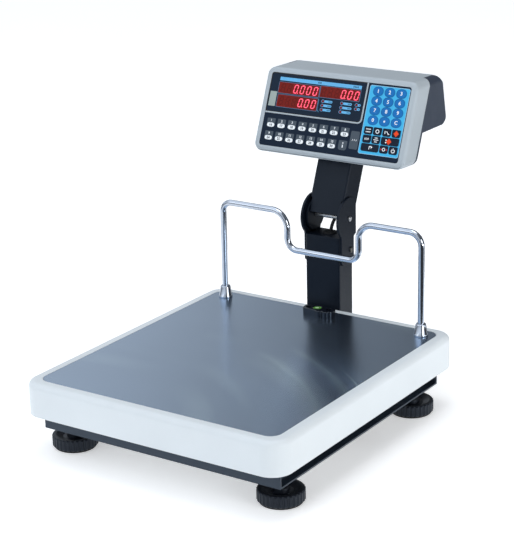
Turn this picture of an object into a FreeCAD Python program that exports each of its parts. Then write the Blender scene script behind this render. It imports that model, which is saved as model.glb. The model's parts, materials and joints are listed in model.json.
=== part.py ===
import FreeCAD, Part

import math
import os

# Retail platform scale: a load cell platform on four levelling feet, a goods rail, and a display
# head that tilts on a two-part mast.  Millimetres.  X to the right, Y to the back, Z up from the
# floor.  The model is built about the platform's centre and moved to its own box centre at the end.

V = FreeCAD.Vector

# ---- platform ----
PLATFORM_W, PLATFORM_D = 446.0, 500.0
DECK_TOP = 116.0
SKIRT_BOTTOM = 65.0
PAN_WALL, DECK_T = 2.5, 4.2
PAN_CORNER_R, PAN_EDGE_R = 30.0, 9.0
PLATE_INSET, PLATE_T, PLATE_CORNER_R = 18.5, 1.4, 18.0
PLATE_SEAT, PLATE_PLAY = 1.6, 0.4
DECK_BOTTOM = DECK_TOP - DECK_T
PLATE_TOP = DECK_TOP - PLATE_SEAT + PLATE_T

# ---- goods rail ----
RAIL_Y, RAIL_R, RAIL_WALL = 209.0, 5.0, 1.2
RAIL_LEFT, RAIL_RIGHT = -179.0, 183.0
RAIL_HIGH, RAIL_DIP = DECK_TOP + 161.5, DECK_TOP + 100.5
DIP_LEFT, DIP_RIGHT = -57.0, 73.5
RAIL_BENDS = [0, 16, 28, 18, 18, 25, 20, 0]
RAIL_POSTS = (RAIL_LEFT, RAIL_RIGHT)
RAIL_STUD_R = 3.0
SOCKET_R_LOW, SOCKET_R_TOP, SOCKET_H = 11.0, 8.2, 19.5

# ---- round level ----
LEVEL_BOX, LEVEL_H, LEVEL_R = (-28.0, 27.0, 200.0, 222.0), 11.0, 9.0
LEVEL_LOBES, LOBE_R = [(4.0, 203.0), (15.5, 204.0)], 6.5
VIAL_AT, VIAL_R = (-4.0, 211.5), 8.0
LEVEL_SCREWS = [(-18.5, 209.0), (17.0, 212.0)]
LEVEL_BORE_R, LEVEL_HEAD_R, LEVEL_SINK = 1.7, 4.6, 3.5

# ---- base frame ----
FRAME_X, FRAME_Y = 205.2, 221.3
FRAME_BOTTOM, FRAME_TOP = 36.7, 76.7
RAIL_STEEL, CHANNEL_DEPTH = 2.5, 15.0
CROSS_T = 3.0
CORNER_SIZE, CORNER_T = 60.0, 5.0
CORNER_Z = 37.0
WEB_X = FRAME_X - CHANNEL_DEPTH
FRAME_SCREW_Z, FRAME_SCREW_Y = 46.0, (112.0, 132.0)
STOP_AT, STOP_R, STOP_TOP = (150.0, 168.0), 4.0, 93.4

# ---- feet ----
FOOT_X, FOOT_Y = 181.2, 183.5
WHEEL_R, WHEEL_TOP, HUB_R = 34.0, 20.0, 11.5
SOLE_R, SOLE_T = 31.0, 3.0
STUD_R, STUD_TOP = 5.0, 62.0
NUT_H, NUT_FLATS = 8.0, 17.0
KNURLS = 30

# ---- load cell and pan carrier ----
CELL_L, CELL_W, CELL_H, CELL_Z = 150.0, 25.0, 28.0, 61.0
CELL_HOLES = (45.0, 65.0)
BEAM_Y0, BEAM_Y1, BEAM_Z0, BEAM_Z1 = 25.0, 85.0, 38.0, 58.0
CARRIER_Z, CARRIER_T, ARM_W, ARM_H = 91.0, 4.0, 22.0, 10.0
ARM_REACH = (172.0, 190.0)
PAD_R = 9.0

# ---- mast and knuckle ----
MAST_X, MAST_W, MAST_Y0, MAST_Y1 = -20.3, 62.8, 254.2, 295.8
MAST_LEFT, MAST_RIGHT = MAST_X - MAST_W / 2, MAST_X + MAST_W / 2
MAST_WALL, MAST_R = 2.0, 3.0
MAST_FOOT_Z, MAST_TOP = 42.7, 229.0
MAST_BOLTS = [(265.0, 53.0), (285.0, 53.0)]
LIP_T, TOP_PLATE_T = 4.0, 2.0
CABLE_PORT = (MAST_X, 50.0)
CROSS_BOLTS = [(MAST_X + dx, 52.0) for dx in (-44.0, 44.0)]
GROMMET_R, GROMMET_Y = 11.5, 278.3
CHEEK_T, CHEEK_R, CHEEK_FOOT, CHEEK_BACK = 3.5, 34.5, 184.0, 300.6
CHEEK_SCREWS = [(267.0, 194.0), (285.0, 206.0)]
PIVOT_Y, PIVOT_Z, PIVOT_R = 280.0, 258.3, 4.0
DISC_R, DISC_T, FOOT_CUT_R = 26.0, 4.0, 32.0

# ---- signal cable ----
CABLE_R = 2.75
CABLE_ROUTE = [(0.0, 75.0, 75.0), (0.0, 105.0, 75.0), (-8.0, 150.0, 50.0), (MAST_X, 196.0, 50.0),
               (MAST_X, 276.0, 50.0), (MAST_X, 276.0, 120.0), (MAST_X, GROMMET_Y, 190.0),
               (MAST_X, GROMMET_Y, 240.0), (-12.5, 291.5, 262.0), (-16.0, 312.0, 318.0),
               (-20.0, 338.0, 388.0), (-20.0, 340.0, 428.0)]
CABLE_BENDS = [0, 26, 60, 60, 18, 300, 300, 14, 22, 200, 40, 0]

# ---- neck and head, in a frame that lies in the key panel: X across, Y into the head, Z up it ----
TILT = 22.2
NECK_D0, NECK_D1, NECK_W, NECK_WALL, NECK_R = 28.5, 71.0, 62.0, 2.5, 3.0
NECK_LOW, NECK_HIGH = -92.0, 88.0
PIVOT_V = -92.7
HEAD_HALF, HEAD_LOW, HEAD_FRONT_HIGH = 138.0, -11.8, 127.0
SHELL_DEPTH, HEAD_R, HEAD_EDGE_R, SHELL_WALL = 37.0, 14.0, 6.5, 2.5
ROOF_SLOPE, UNDER_SLOPE = 0.385, 0.36
HOOD_END, HOOD_HALF = 66.0, HEAD_HALF - HEAD_R
REAR_START, BACK_PLATE = 37.3, 42.3
FLOOR_A, FLOOR_B = (BACK_PLATE, 56.6), (104.0, 81.6)
FLOOR_SLOPE = (FLOOR_B[1] - FLOOR_A[1]) / (FLOOR_B[0] - FLOOR_A[0])
REAR_LOW, REAR_HIGH = (112.0, 92.4), (78.0, 143.0)
REAR_TOP = (HOOD_END, HEAD_FRONT_HIGH + ROOF_SLOPE * HOOD_END)
REAR_ANGLE = math.degrees(math.atan2(REAR_LOW[0] - REAR_HIGH[0], REAR_HIGH[1] - REAR_LOW[1]))
REAR_MIDDLE = ((REAR_LOW[0] + REAR_HIGH[0]) / 2, (REAR_LOW[1] + REAR_HIGH[1]) / 2)
REAR_ROUNDS = [0, 8, 8, 8, 6, 0]
FLANGE_SCREWS = [(x, y) for x in (-44.0, 44.0) for y in (12.0, 44.0)]
SHELL_SCREWS = [(x, v) for x in (-122.0, 122.0) for v in (14.0, 46.0)]
INLET_AT, INLET_R = (96.0, 36.0), 6.0
PANEL_HALF, PANEL_H, PANEL_T = 127.4, 118.7, 0.8
WINDOW = (-112.0, 42.0, 62.0, 107.0)
LAMPS = [(-24.4, 81.2), (-24.4, 74.5), (-24.4, 67.8), (10.2, 81.4), (10.2, 74.6), (10.2, 67.8),
         (37.0, 81.4), (37.0, 74.8)]
HEAD_X = MAST_X
NECK_MID = (NECK_D0 + NECK_D1) / 2.0

SIDES = (-1, 1)
CORNERS = [(sx, sy) for sy in SIDES for sx in SIDES]


def box(x0, x1, y0, y1, z0, z1):
    return Part.makeBox(x1 - x0, y1 - y0, z1 - z0, V(x0, y0, z0))


def cylinder(r, length, at, axis=(0, 0, 1)):
    return Part.makeCylinder(r, length, V(*at), V(*axis))


def rounded_box(x0, x1, y0, y1, z0, z1, r):
    """A box whose four upright edges are rounded."""
    solid = box(x0, x1, y0, y1, z0, z1)
    upright = [e for e in solid.Edges if abs(e.tangentAt(e.FirstParameter).z) > 0.99]
    return solid.makeFillet(r, upright)


def edges_at_z(solid, z):
    return [e for e in solid.Edges if all(abs(p.Point.z - z) < 1e-6 for p in e.Vertexes)]


def corner_arc(before, corner, after, r):
    """The arc of radius r tangent to both runs at a corner, and its two ends."""
    u, w = (before - corner).normalize(), (after - corner).normalize()
    half = u.getAngle(w) / 2.0
    reach = r / math.tan(half)
    start, end = corner + u * reach, corner + w * reach
    bisector = (u + w).normalize()
    middle = corner + bisector * (r / math.sin(half) - r)
    return start, middle, end


def rounded_wire(points, radii, closed=False):
    """Straight runs joined by tangent arcs.  A radius of 0 keeps a sharp corner."""
    points = [V(*p) for p in points]
    count = len(points)
    ends, arcs = [], []
    for i, p in enumerate(points):
        r = radii[i] if isinstance(radii, (list, tuple)) else radii
        inner = closed or 0 < i < count - 1
        if inner and r > 0:
            start, middle, end = corner_arc(points[i - 1], p, points[(i + 1) % count], r)
            ends.append((start, end))
            arcs.append(Part.Arc(start, middle, end).toShape())
        else:
            ends.append((p, p))
            arcs.append(None)
    edges = []
    for i in range(count):
        if arcs[i]:
            edges.append(arcs[i])
        if i < count - 1 or closed:
            a, b = ends[i][1], ends[(i + 1) % count][0]
            if (b - a).Length > 1e-6:
                edges.append(Part.LineSegment(a, b).toShape())
    return Part.Wire(edges)


def tube_along(path, r):
    """A round bar swept along a path."""
    first = path.Edges[0]
    ring = Part.Wire(Part.makeCircle(r, first.valueAt(first.FirstParameter),
                                     first.tangentAt(first.FirstParameter)))
    return path.makePipeShell([ring], True, False)


def side_prism(points, x0, x1, radii=0):
    """A side outline, as (y, z) points, drawn across from x0 to x1."""
    wire = rounded_wire([(x0, y, z) for y, z in points], radii, closed=True)
    return Part.Face(wire).extrude(V(x1 - x0, 0, 0))


def hexagon(flats, height, at, axis=(0, 0, 1)):
    r = flats / math.sqrt(3.0)
    ring = [V(r * math.cos(a), r * math.sin(a), 0) for a in
            (math.radians(30 + 60 * i) for i in range(7))]
    solid = Part.Face(Part.makePolygon(ring)).extrude(V(0, 0, height))
    solid.Placement = FreeCAD.Placement(V(*at), FreeCAD.Rotation(V(0, 0, 1), V(*axis)))
    return solid


def screw(r, length, head_r, head_h, at, axis):
    """A pan head screw: at is the face under the head, and axis points out of the head."""
    out = V(*axis)
    shank = Part.makeCylinder(r, length, V(*at), out * -1)
    head = Part.makeCylinder(head_r, head_h, V(*at), out)
    rim = [e for e in head.Edges if (e.CenterOfMass - (V(*at) + out * head_h)).Length < 1e-3]
    return shank.fuse(head.makeFillet(head_h * 0.45, rim[:1]))


def bolt(r, length, flats, head_h, at, axis):
    """A hexagon head bolt: at is the face under the head, and axis points out of the head."""
    out = V(*axis)
    return Part.makeCylinder(r, length, V(*at), out * -1).fuse(hexagon(flats, head_h, at, axis))


def group(shapes):
    return Part.makeCompound(shapes)


def cut_all(solid, tools):
    for tool in tools:
        solid = solid.cut(tool)
    return solid


# ---------------------------------------------------------------- platform

def pan_skirt():
    """The painted pan: a deck with a deep skirt and a shallow seat for the plate."""
    hw, hd = PLATFORM_W / 2, PLATFORM_D / 2
    outer = rounded_box(-hw, hw, -hd, hd, SKIRT_BOTTOM, DECK_TOP, PAN_CORNER_R)
    outer = outer.makeFillet(PAN_EDGE_R, edges_at_z(outer, DECK_TOP))
    iw, idp = hw - PAN_WALL, hd - PAN_WALL
    inner = rounded_box(-iw, iw, -idp, idp, SKIRT_BOTTOM - 1, DECK_BOTTOM, PAN_CORNER_R - PAN_WALL)
    inner = inner.makeFillet(PAN_EDGE_R - PAN_WALL, edges_at_z(inner, DECK_BOTTOM))
    pw, pd = hw - PLATE_INSET + PLATE_PLAY, hd - PLATE_INSET + PLATE_PLAY
    seat = rounded_box(-pw, pw, -pd, pd, DECK_TOP - PLATE_SEAT, DECK_TOP + 1, PLATE_CORNER_R)
    pan = outer.cut(inner).cut(seat)
    return cut_all(pan, rail_holes() + level_holes())


def pan_plate():
    hw, hd = PLATFORM_W / 2 - PLATE_INSET, PLATFORM_D / 2 - PLATE_INSET
    low = DECK_TOP - PLATE_SEAT
    plate = rounded_box(-hw, hw, -hd, hd, low, low + PLATE_T, PLATE_CORNER_R)
    return cut_all(plate, rail_holes() + level_holes())


def rail_holes():
    return [cylinder(RAIL_STUD_R + 0.2, 12, (x, RAIL_Y, DECK_BOTTOM - 4)) for x in RAIL_POSTS]


def guard_rail():
    """One bent tube: up, across, down into a dip, across and back down."""
    z0, hi, dip = PLATE_TOP, RAIL_HIGH, RAIL_DIP
    run = [(RAIL_LEFT, z0), (RAIL_LEFT, hi), (DIP_LEFT, hi), (DIP_LEFT, dip),
           (DIP_RIGHT, dip), (DIP_RIGHT, hi), (RAIL_RIGHT, hi), (RAIL_RIGHT, z0)]
    path = rounded_wire([(x, RAIL_Y, z) for x, z in run], RAIL_BENDS)
    return tube_along(path, RAIL_R).cut(tube_along(path, RAIL_R - RAIL_WALL))


def rail_sockets():
    low, high = PLATE_TOP, PLATE_TOP + SOCKET_H
    outline = [(RAIL_R + 0.05, low), (SOCKET_R_LOW, low), (SOCKET_R_LOW, low + 2.0),
               (SOCKET_R_LOW - 0.8, low + 3.2), (SOCKET_R_TOP, high - 1.2),
               (SOCKET_R_TOP - 1.2, high), (RAIL_R + 0.05, high)]
    return group([revolve(outline, x, RAIL_Y) for x in RAIL_POSTS])


def revolve(outline, x, y):
    """A ring turned about the upright line through x, y, from its (radius, z) outline."""
    ring = [V(r, 0, z) for r, z in outline]
    face = Part.Face(Part.makePolygon(ring + ring[:1]))
    solid = face.revolve(V(0, 0, 0), V(0, 0, 1), 360)
    solid.translate(V(x, y, 0))
    return solid


def rail_fixings():
    """A plug in each end of the tube, with a stud through the deck and a nut under it."""
    plugs, nuts = [], []
    for x in RAIL_POSTS:
        plug = cylinder(RAIL_R - RAIL_WALL, 22, (x, RAIL_Y, PLATE_TOP))
        plugs.append(plug.fuse(cylinder(RAIL_STUD_R, 13, (x, RAIL_Y, PLATE_TOP - 12))))
        nut = hexagon(10.0, 5.0, (x, RAIL_Y, DECK_BOTTOM - 5.0))
        nuts.append(nut.cut(cylinder(RAIL_STUD_R, 8, (x, RAIL_Y, DECK_BOTTOM - 6))))
    return group(plugs + nuts)


def level_holes():
    return [cylinder(LEVEL_BORE_R, 12, (x, y, DECK_BOTTOM - 4)) for x, y in LEVEL_SCREWS]


def level_housing():
    """A low black block with two lobes in front, two sunk screws and a round cup for the vial."""
    z0, z1 = PLATE_TOP, PLATE_TOP + LEVEL_H
    body = rounded_box(*LEVEL_BOX, z0, z1, LEVEL_R)
    lobes = [cylinder(LOBE_R, LEVEL_H, (x, y, z0)) for x, y in LEVEL_LOBES]
    solid = body.fuse(lobes).removeSplitter()
    solid = solid.makeFillet(1.6, edges_at_z(solid, z1))
    tools = [cylinder(VIAL_R + 0.1, LEVEL_H, (VIAL_AT[0], VIAL_AT[1], z0 + 2.0))]
    for x, y in LEVEL_SCREWS:
        tools.append(cylinder(LEVEL_BORE_R, LEVEL_H + 2, (x, y, z0 - 1)))
        tools.append(cylinder(LEVEL_HEAD_R, LEVEL_H, (x, y, z0 + LEVEL_SINK)))
    return cut_all(solid, tools)


def level_vial():
    z0 = PLATE_TOP + 2.0
    vial = cylinder(VIAL_R, LEVEL_H - 2.6, (VIAL_AT[0], VIAL_AT[1], z0))
    return vial.makeFillet(1.5, edges_at_z(vial, z0 + LEVEL_H - 2.6))


def level_screws():
    z = PLATE_TOP + LEVEL_SINK
    return group([screw(1.65, 11, 3.4, 2.2, (x, y, z), (0, 0, 1)) for x, y in LEVEL_SCREWS])


# ---------------------------------------------------------------- base frame

def side_rail(side):
    """A channel that opens outwards: an inner web with a lip above and below."""
    y = FRAME_Y - CROSS_T
    outer = box(WEB_X, FRAME_X, -y, y, FRAME_BOTTOM, FRAME_TOP)
    groove = box(WEB_X + RAIL_STEEL, FRAME_X + 1, -y - 1, y + 1,
                 FRAME_BOTTOM + RAIL_STEEL, FRAME_TOP - RAIL_STEEL)
    channel = outer.cut(groove)
    holes = [cylinder(2.1, 8, (WEB_X - 2, sy, FRAME_SCREW_Z), (1, 0, 0)) for sy in FRAME_SCREW_Y]
    channel = cut_all(channel, holes)
    if side < 0:
        channel = channel.mirror(V(0, 0, 0), V(1, 0, 0))
    return channel


def frame_screws():
    """The screws that hold each corner plate to the side rail's web."""
    screws = []
    for side in SIDES:
        for y in FRAME_SCREW_Y:
            at = (side * (WEB_X + RAIL_STEEL), y, FRAME_SCREW_Z)
            screws.append(screw(2.0, 7.0, 4.2, 2.6, at, (side, 0, 0)))
    return group(screws)


def cross_member(side):
    y0 = side * FRAME_Y
    y1 = side * (FRAME_Y - CROSS_T)
    plate = box(-FRAME_X, FRAME_X, min(y0, y1), max(y0, y1), FRAME_BOTTOM, FRAME_TOP)
    if side > 0:
        tools = [cylinder(6.0, 8, (CABLE_PORT[0], y1 - 2, CABLE_PORT[1]), (0, 1, 0))]
        tools += [cylinder(3.1, 8, (x, y1 - 2, z), (0, 1, 0)) for x, z in CROSS_BOLTS]
        plate = cut_all(plate, tools)
    return plate


def corner_plates():
    """A flat plate in each corner that carries the foot's nut and an overload stop."""
    plates = []
    for sx, sy in CORNERS:
        x = sorted((sx * WEB_X, sx * (WEB_X - CORNER_SIZE)))
        y = sorted((sy * (FRAME_Y - CROSS_T), sy * (FRAME_Y - CROSS_T - CORNER_SIZE)))
        plate = box(x[0], x[1], y[0], y[1], CORNER_Z, CORNER_Z + CORNER_T)
        plate = plate.cut(cylinder(STUD_R + 0.6, 20, (sx * FOOT_X, sy * FOOT_Y, CORNER_Z - 5)))
        stop = cylinder(STOP_R, 20, (sx * STOP_AT[0], sy * STOP_AT[1], CORNER_Z - 5))
        plates.append(plate.cut(stop))
    return group(plates)


def overload_stops():
    """Four studs that meet the carrier's arms when the platform is overloaded."""
    stops = []
    for sx, sy in CORNERS:
        at = (sx * STOP_AT[0], sy * STOP_AT[1])
        stud = cylinder(STOP_R, STOP_TOP - CORNER_Z, (at[0], at[1], CORNER_Z))
        stops.append(stud.fuse(hexagon(13.0, 6.5, (at[0], at[1], CORNER_Z + CORNER_T))))
    return group(stops)


def foot_nuts():
    nuts = []
    for sx, sy in CORNERS:
        x, y, z = sx * FOOT_X, sy * FOOT_Y, CORNER_Z + CORNER_T
        nut = hexagon(NUT_FLATS, NUT_H, (x, y, z))
        nuts.append(nut.cut(cylinder(STUD_R + 0.06, NUT_H + 2, (x, y, z - 1))))
    return group(nuts)


# ---------------------------------------------------------------- feet

def foot_sole(x, y):
    sole = cylinder(SOLE_R, SOLE_T, (x, y, 0))
    return sole.makeFillet(0.8, edges_at_z(sole, 0.0))


def knurled_outline(r, depth, count):
    """A round outline with count shallow hollows, made of arcs."""
    edges = []
    step = 2 * math.pi / count
    for i in range(count):
        a = i * step

        def at(t, radius):
            return V(radius * math.cos(a + t * step), radius * math.sin(a + t * step), 0)

        edges.append(Part.Arc(at(0.0, r), at(0.2, r), at(0.4, r)).toShape())
        edges.append(Part.Arc(at(0.4, r), at(0.7, r - depth), at(1.0, r)).toShape())
    return Part.Wire(edges)


def foot_wheel(x, y):
    """A knurled hand wheel with a dished top and a round boss."""
    low = SOLE_T + 0.3
    outline = [(STUD_R, low), (WHEEL_R - 1, low), (WHEEL_R + 1, low + 2.0), (WHEEL_R + 1, WHEEL_TOP - 2.4),
               (WHEEL_R - 1.6, WHEEL_TOP), (WHEEL_R - 6, WHEEL_TOP), (WHEEL_R - 16, WHEEL_TOP - 4.5),
               (HUB_R + 1, WHEEL_TOP - 4.0), (HUB_R, WHEEL_TOP + 1.6), (STUD_R, WHEEL_TOP + 1.6)]
    turned = revolve(outline, 0, 0)
    grip = Part.Face(knurled_outline(WHEEL_R, 1.6, KNURLS)).extrude(V(0, 0, WHEEL_TOP + 8))
    wheel = turned.common(grip)
    wheel.translate(V(x, y, 0))
    return wheel


def foot_stud(x, y):
    stud = cylinder(STUD_R, STUD_TOP - SOLE_T - 1.0, (x, y, SOLE_T + 1.0))
    return stud.makeChamfer(0.8, edges_at_z(stud, STUD_TOP))


# ---------------------------------------------------------------- load cell and carrier

def centre_beam():
    """A shallow channel across the frame, open below, that the load cell is bolted to."""
    beam = box(-WEB_X, WEB_X, BEAM_Y0, BEAM_Y1, BEAM_Z0, BEAM_Z1)
    hollow = box(-WEB_X - 1, WEB_X + 1, BEAM_Y0 + 3, BEAM_Y1 - 3, BEAM_Z0 - 1, BEAM_Z1 - 3)
    holes = [cylinder(4.0, 20, (0, y, BEAM_Z0)) for y in CELL_HOLES]
    return cut_all(beam.cut(hollow), holes)


def load_cell_spacer():
    spacer = box(-CELL_W / 2, CELL_W / 2, CELL_L / 2 - 42, CELL_L / 2, BEAM_Z1, CELL_Z)
    return cut_all(spacer, [cylinder(4.0, 20, (0, y, BEAM_Z1 - 5)) for y in CELL_HOLES])


def load_cell():
    """An aluminium block thinned by two joined cross bores, so that it bends as a parallelogram."""
    cell = box(-CELL_W / 2, CELL_W / 2, -CELL_L / 2, CELL_L / 2, CELL_Z, CELL_Z + CELL_H)
    mid = CELL_Z + CELL_H / 2
    tools = [cylinder(11.0, CELL_W + 2, (-CELL_W / 2 - 1, y, mid), (1, 0, 0)) for y in (-16.0, 16.0)]
    tools.append(box(-CELL_W / 2 - 1, CELL_W / 2 + 1, -16, 16, mid - 5, mid + 5))
    tools += [cylinder(4.0, 18, (0, y, CELL_Z - 1)) for y in CELL_HOLES]
    tools += [cylinder(4.06, 18, (0, -y, CELL_Z + CELL_H - 17)) for y in CELL_HOLES]
    return cut_all(cell, tools)


def load_cell_base_bolts():
    return group([bolt(4.0, 23, 13.0, 5.3, (0, y, BEAM_Z1 - 3), (0, 0, -1)) for y in CELL_HOLES])


def load_cell_live_bolts():
    top = CARRIER_Z + CARRIER_T
    return group([bolt(4.0, 21, 13.0, 5.3, (0, -y, top), (0, 0, 1)) for y in CELL_HOLES])


def carrier_plate():
    """The plate on the load cell's free end, with a raised pad under it."""
    top = CARRIER_Z + CARRIER_T
    plate = rounded_box(-55, 55, -80, 80, CARRIER_Z, top, 6)
    pad = box(-CELL_W / 2, CELL_W / 2, -CELL_L / 2, -CELL_L / 2 + 42, CELL_Z + CELL_H, CARRIER_Z)
    plate = plate.fuse(pad)
    holes = [cylinder(4.0, 12, (0, -y, CELL_Z + CELL_H - 2)) for y in CELL_HOLES]
    return cut_all(plate, holes)


def carrier_arms():
    z0 = CARRIER_Z + CARRIER_T
    angle = math.degrees(math.atan2(ARM_REACH[1], ARM_REACH[0]))
    reach = math.hypot(*ARM_REACH) + ARM_W / 2
    arms = []
    for turn in (angle, 180 - angle, 180 + angle, -angle):
        arm = rounded_box(18, reach, -ARM_W / 2, ARM_W / 2, z0, z0 + ARM_H, 3)
        arm.rotate(V(0, 0, 0), V(0, 0, 1), turn)
        arms.append(arm)
    return group(arms)


def carrier_pads():
    z0 = CARRIER_Z + CARRIER_T + ARM_H
    return group([cylinder(PAD_R, DECK_BOTTOM - z0, (sx * ARM_REACH[0], sy * ARM_REACH[1], z0))
                  for sx, sy in CORNERS])


# ---------------------------------------------------------------- mast and knuckle

def mast_foot_bracket():
    """A shelf and two side walls welded to a plate that is bolted to the rear cross member."""
    y0 = FRAME_Y
    plate = box(MAST_X - 56, MAST_X + 56, y0, y0 + 5, FRAME_BOTTOM, 62)
    shelf = box(MAST_LEFT - LIP_T, MAST_RIGHT + LIP_T, y0 + 5, MAST_Y1 + 3, FRAME_BOTTOM, MAST_FOOT_Z)
    walls = [box(MAST_LEFT - LIP_T, MAST_LEFT, y0 + 5, MAST_Y1 + 3, MAST_FOOT_Z, 62),
             box(MAST_RIGHT, MAST_RIGHT + LIP_T, y0 + 5, MAST_Y1 + 3, MAST_FOOT_Z, 62)]
    solid = plate.fuse([shelf] + walls).removeSplitter()
    tools = [cylinder(6.0, 12, (CABLE_PORT[0], y0 - 2, CABLE_PORT[1]), (0, 1, 0))]
    tools += [cylinder(3.0, 12, (x, y0 - 2, z), (0, 1, 0)) for x, z in CROSS_BOLTS]
    tools += mast_bolt_holes(3.0)
    return cut_all(solid, tools)


def mast_bolt_holes(r):
    return [cylinder(r, MAST_W + 20, (MAST_LEFT - 10, y, z), (1, 0, 0)) for y, z in MAST_BOLTS]


def cheek_screw_holes(r):
    return [cylinder(r, MAST_W + 20, (MAST_LEFT - 10, y, z), (1, 0, 0)) for y, z in CHEEK_SCREWS]


def mast_tube():
    """Rectangular tube with rounded long edges, and a port for the cable near its foot."""
    outer = rounded_box(MAST_LEFT, MAST_RIGHT, MAST_Y0, MAST_Y1, MAST_FOOT_Z, MAST_TOP, MAST_R)
    w = MAST_WALL
    bore = rounded_box(MAST_LEFT + w, MAST_RIGHT - w, MAST_Y0 + w, MAST_Y1 - w,
                       MAST_FOOT_Z - 1, MAST_TOP + 1, MAST_R - w)
    port = cylinder(6.0, 8, (CABLE_PORT[0], MAST_Y0 - 2, CABLE_PORT[1]), (0, 1, 0))
    return cut_all(outer.cut(bore), [port] + mast_bolt_holes(3.0) + cheek_screw_holes(2.5))


def mast_bolts():
    """Bolts through the bracket and the mast, and bolts through the rear cross member."""
    bolts = []
    for y, z in MAST_BOLTS:
        bolts.append(bolt(3.0, 8, 10.0, 4.0, (MAST_RIGHT + LIP_T, y, z), (1, 0, 0)))
        bolts.append(bolt(3.0, 8, 10.0, 4.0, (MAST_LEFT - LIP_T, y, z), (-1, 0, 0)))
    for x, z in CROSS_BOLTS:
        bolts.append(bolt(3.0, 12, 10.0, 4.0, (x, FRAME_Y + 5, z), (0, 1, 0)))
    return group(bolts)


def mast_top_plate():
    plate = rounded_box(MAST_LEFT, MAST_RIGHT, MAST_Y0, MAST_Y1, MAST_TOP, MAST_TOP + TOP_PLATE_T, MAST_R)
    plate = plate.makeFillet(1.2, edges_at_z(plate, MAST_TOP + TOP_PLATE_T))
    return plate.cut(cylinder(GROMMET_R - 3, 8, (MAST_X, GROMMET_Y, MAST_TOP - 3)))


def cable_grommet():
    """A rubber ring with a groove that grips the top plate's hole."""
    z0, z1 = MAST_TOP - 2.0, MAST_TOP + TOP_PLATE_T
    outline = [(CABLE_R, z0), (GROMMET_R - 1, z0), (GROMMET_R - 1, MAST_TOP), (GROMMET_R - 3, MAST_TOP),
               (GROMMET_R - 3, z1), (GROMMET_R, z1), (GROMMET_R - 0.5, z1 + 1.8),
               (GROMMET_R - 4, z1 + 3.0), (CABLE_R, z1 + 3.6)]
    return revolve(outline, MAST_X, GROMMET_Y)


def cheek(side):
    """A steel cheek: a round head about the pivot and a leg on the mast's side."""
    x0 = MAST_RIGHT if side > 0 else MAST_LEFT - CHEEK_T
    x1 = x0 + CHEEK_T
    head = cylinder(CHEEK_R, CHEEK_T, (x0, PIVOT_Y, PIVOT_Z), (1, 0, 0))
    head = head.cut(box(x0 - 1, x1 + 1, CHEEK_BACK, CHEEK_BACK + 60, PIVOT_Z - 60, PIVOT_Z + 60))
    leg = side_prism([(257.0, CHEEK_FOOT), (294.0, CHEEK_FOOT), (294.0, 226.0), (CHEEK_BACK, 243.0),
                      (CHEEK_BACK, PIVOT_Z), (250.0, PIVOT_Z), (248.3, 246.0), (256.6, 232.0)],
                     x0, x1, [7, 7, 12, 12, 0, 0, 8, 10])
    solid = head.fuse(leg).removeSplitter()
    tools = cheek_screw_holes(2.5)
    tools.append(cylinder(PIVOT_R, 20, (x0 - 8, PIVOT_Y, PIVOT_Z), (1, 0, 0)))
    return cut_all(solid, tools)


def cheek_screws():
    screws = []
    for y, z in CHEEK_SCREWS:
        screws.append(screw(2.5, 7, 4.6, 2.4, (MAST_RIGHT + CHEEK_T, y, z), (1, 0, 0)))
        screws.append(screw(2.5, 7, 4.6, 2.4, (MAST_LEFT - CHEEK_T, y, z), (-1, 0, 0)))
    return group(screws)


def pivot_bolt():
    """The bolt through both cheeks, with its nut and washer on the left."""
    x0, x1 = MAST_LEFT - CHEEK_T, MAST_RIGHT + CHEEK_T
    shaft = cylinder(PIVOT_R, x1 - x0 + 15, (x0 - 12, PIVOT_Y, PIVOT_Z), (1, 0, 0))
    end = [e for e in shaft.Edges if all(abs(p.Point.x - x1 - 3) < 1e-6 for p in e.Vertexes)]
    shaft = shaft.makeChamfer(1.0, end)
    washer = cylinder(8.5, 1.6, (x0 - 1.6, PIVOT_Y, PIVOT_Z), (1, 0, 0))
    nut = hexagon(13.0, 6.5, (x0 - 8.1, PIVOT_Y, PIVOT_Z), (1, 0, 0))
    ring = washer.fuse(nut).cut(cylinder(PIVOT_R, 40, (x0 - 20, PIVOT_Y, PIVOT_Z), (1, 0, 0)))
    return group([shaft, ring])


def signal_cable():
    """The load cell's cable: under the deck, up inside the mast, over the knuckle, up the neck."""
    path = rounded_wire(CABLE_ROUTE, CABLE_BENDS)
    cable = tube_along(path, CABLE_R)
    expected = math.pi * CABLE_R ** 2 * path.Length
    print("signal cable length %.0f mm, volume ratio %.4f, smallest bend %.0f mm"
          % (path.Length, cable.Volume / expected, min(r for r in CABLE_BENDS if r)))
    return cable


# ---------------------------------------------------------------- neck and head

def to_world(shape):
    """Leans a shape of the head's own frame back and puts its neck on the pivot."""
    lean = math.radians(TILT)
    shape = shape.copy()
    shape.rotate(V(0, 0, 0), V(1, 0, 0), -TILT)
    y = PIVOT_Y - NECK_MID * math.cos(lean) - PIVOT_V * math.sin(lean)
    z = PIVOT_Z + NECK_MID * math.sin(lean) - PIVOT_V * math.cos(lean)
    shape.translate(V(HEAD_X, y, z))
    return shape


def neck_room(gap):
    """The space that the neck takes in the head, with a gap all round."""
    return box(-NECK_W / 2 - gap, NECK_W / 2 + gap, NECK_D0 - gap, NECK_D1 + gap, -30, NECK_HIGH + gap)


def roof(d):
    """Height of the head's top at a depth behind its face."""
    return HEAD_FRONT_HIGH + ROOF_SLOPE * d


def underside(d):
    """Height of the head's bottom at a depth behind its face."""
    return HEAD_LOW + UNDER_SLOPE * d


def box_floor(d):
    """Height of the rear box's underside at a depth behind the face."""
    return FLOOR_A[1] + FLOOR_SLOPE * (d - FLOOR_A[0])


def rear_box_outline(front):
    return [(front, box_floor(front)), FLOOR_B, REAR_LOW, REAR_HIGH, REAR_TOP, (front, roof(front))]


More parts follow.
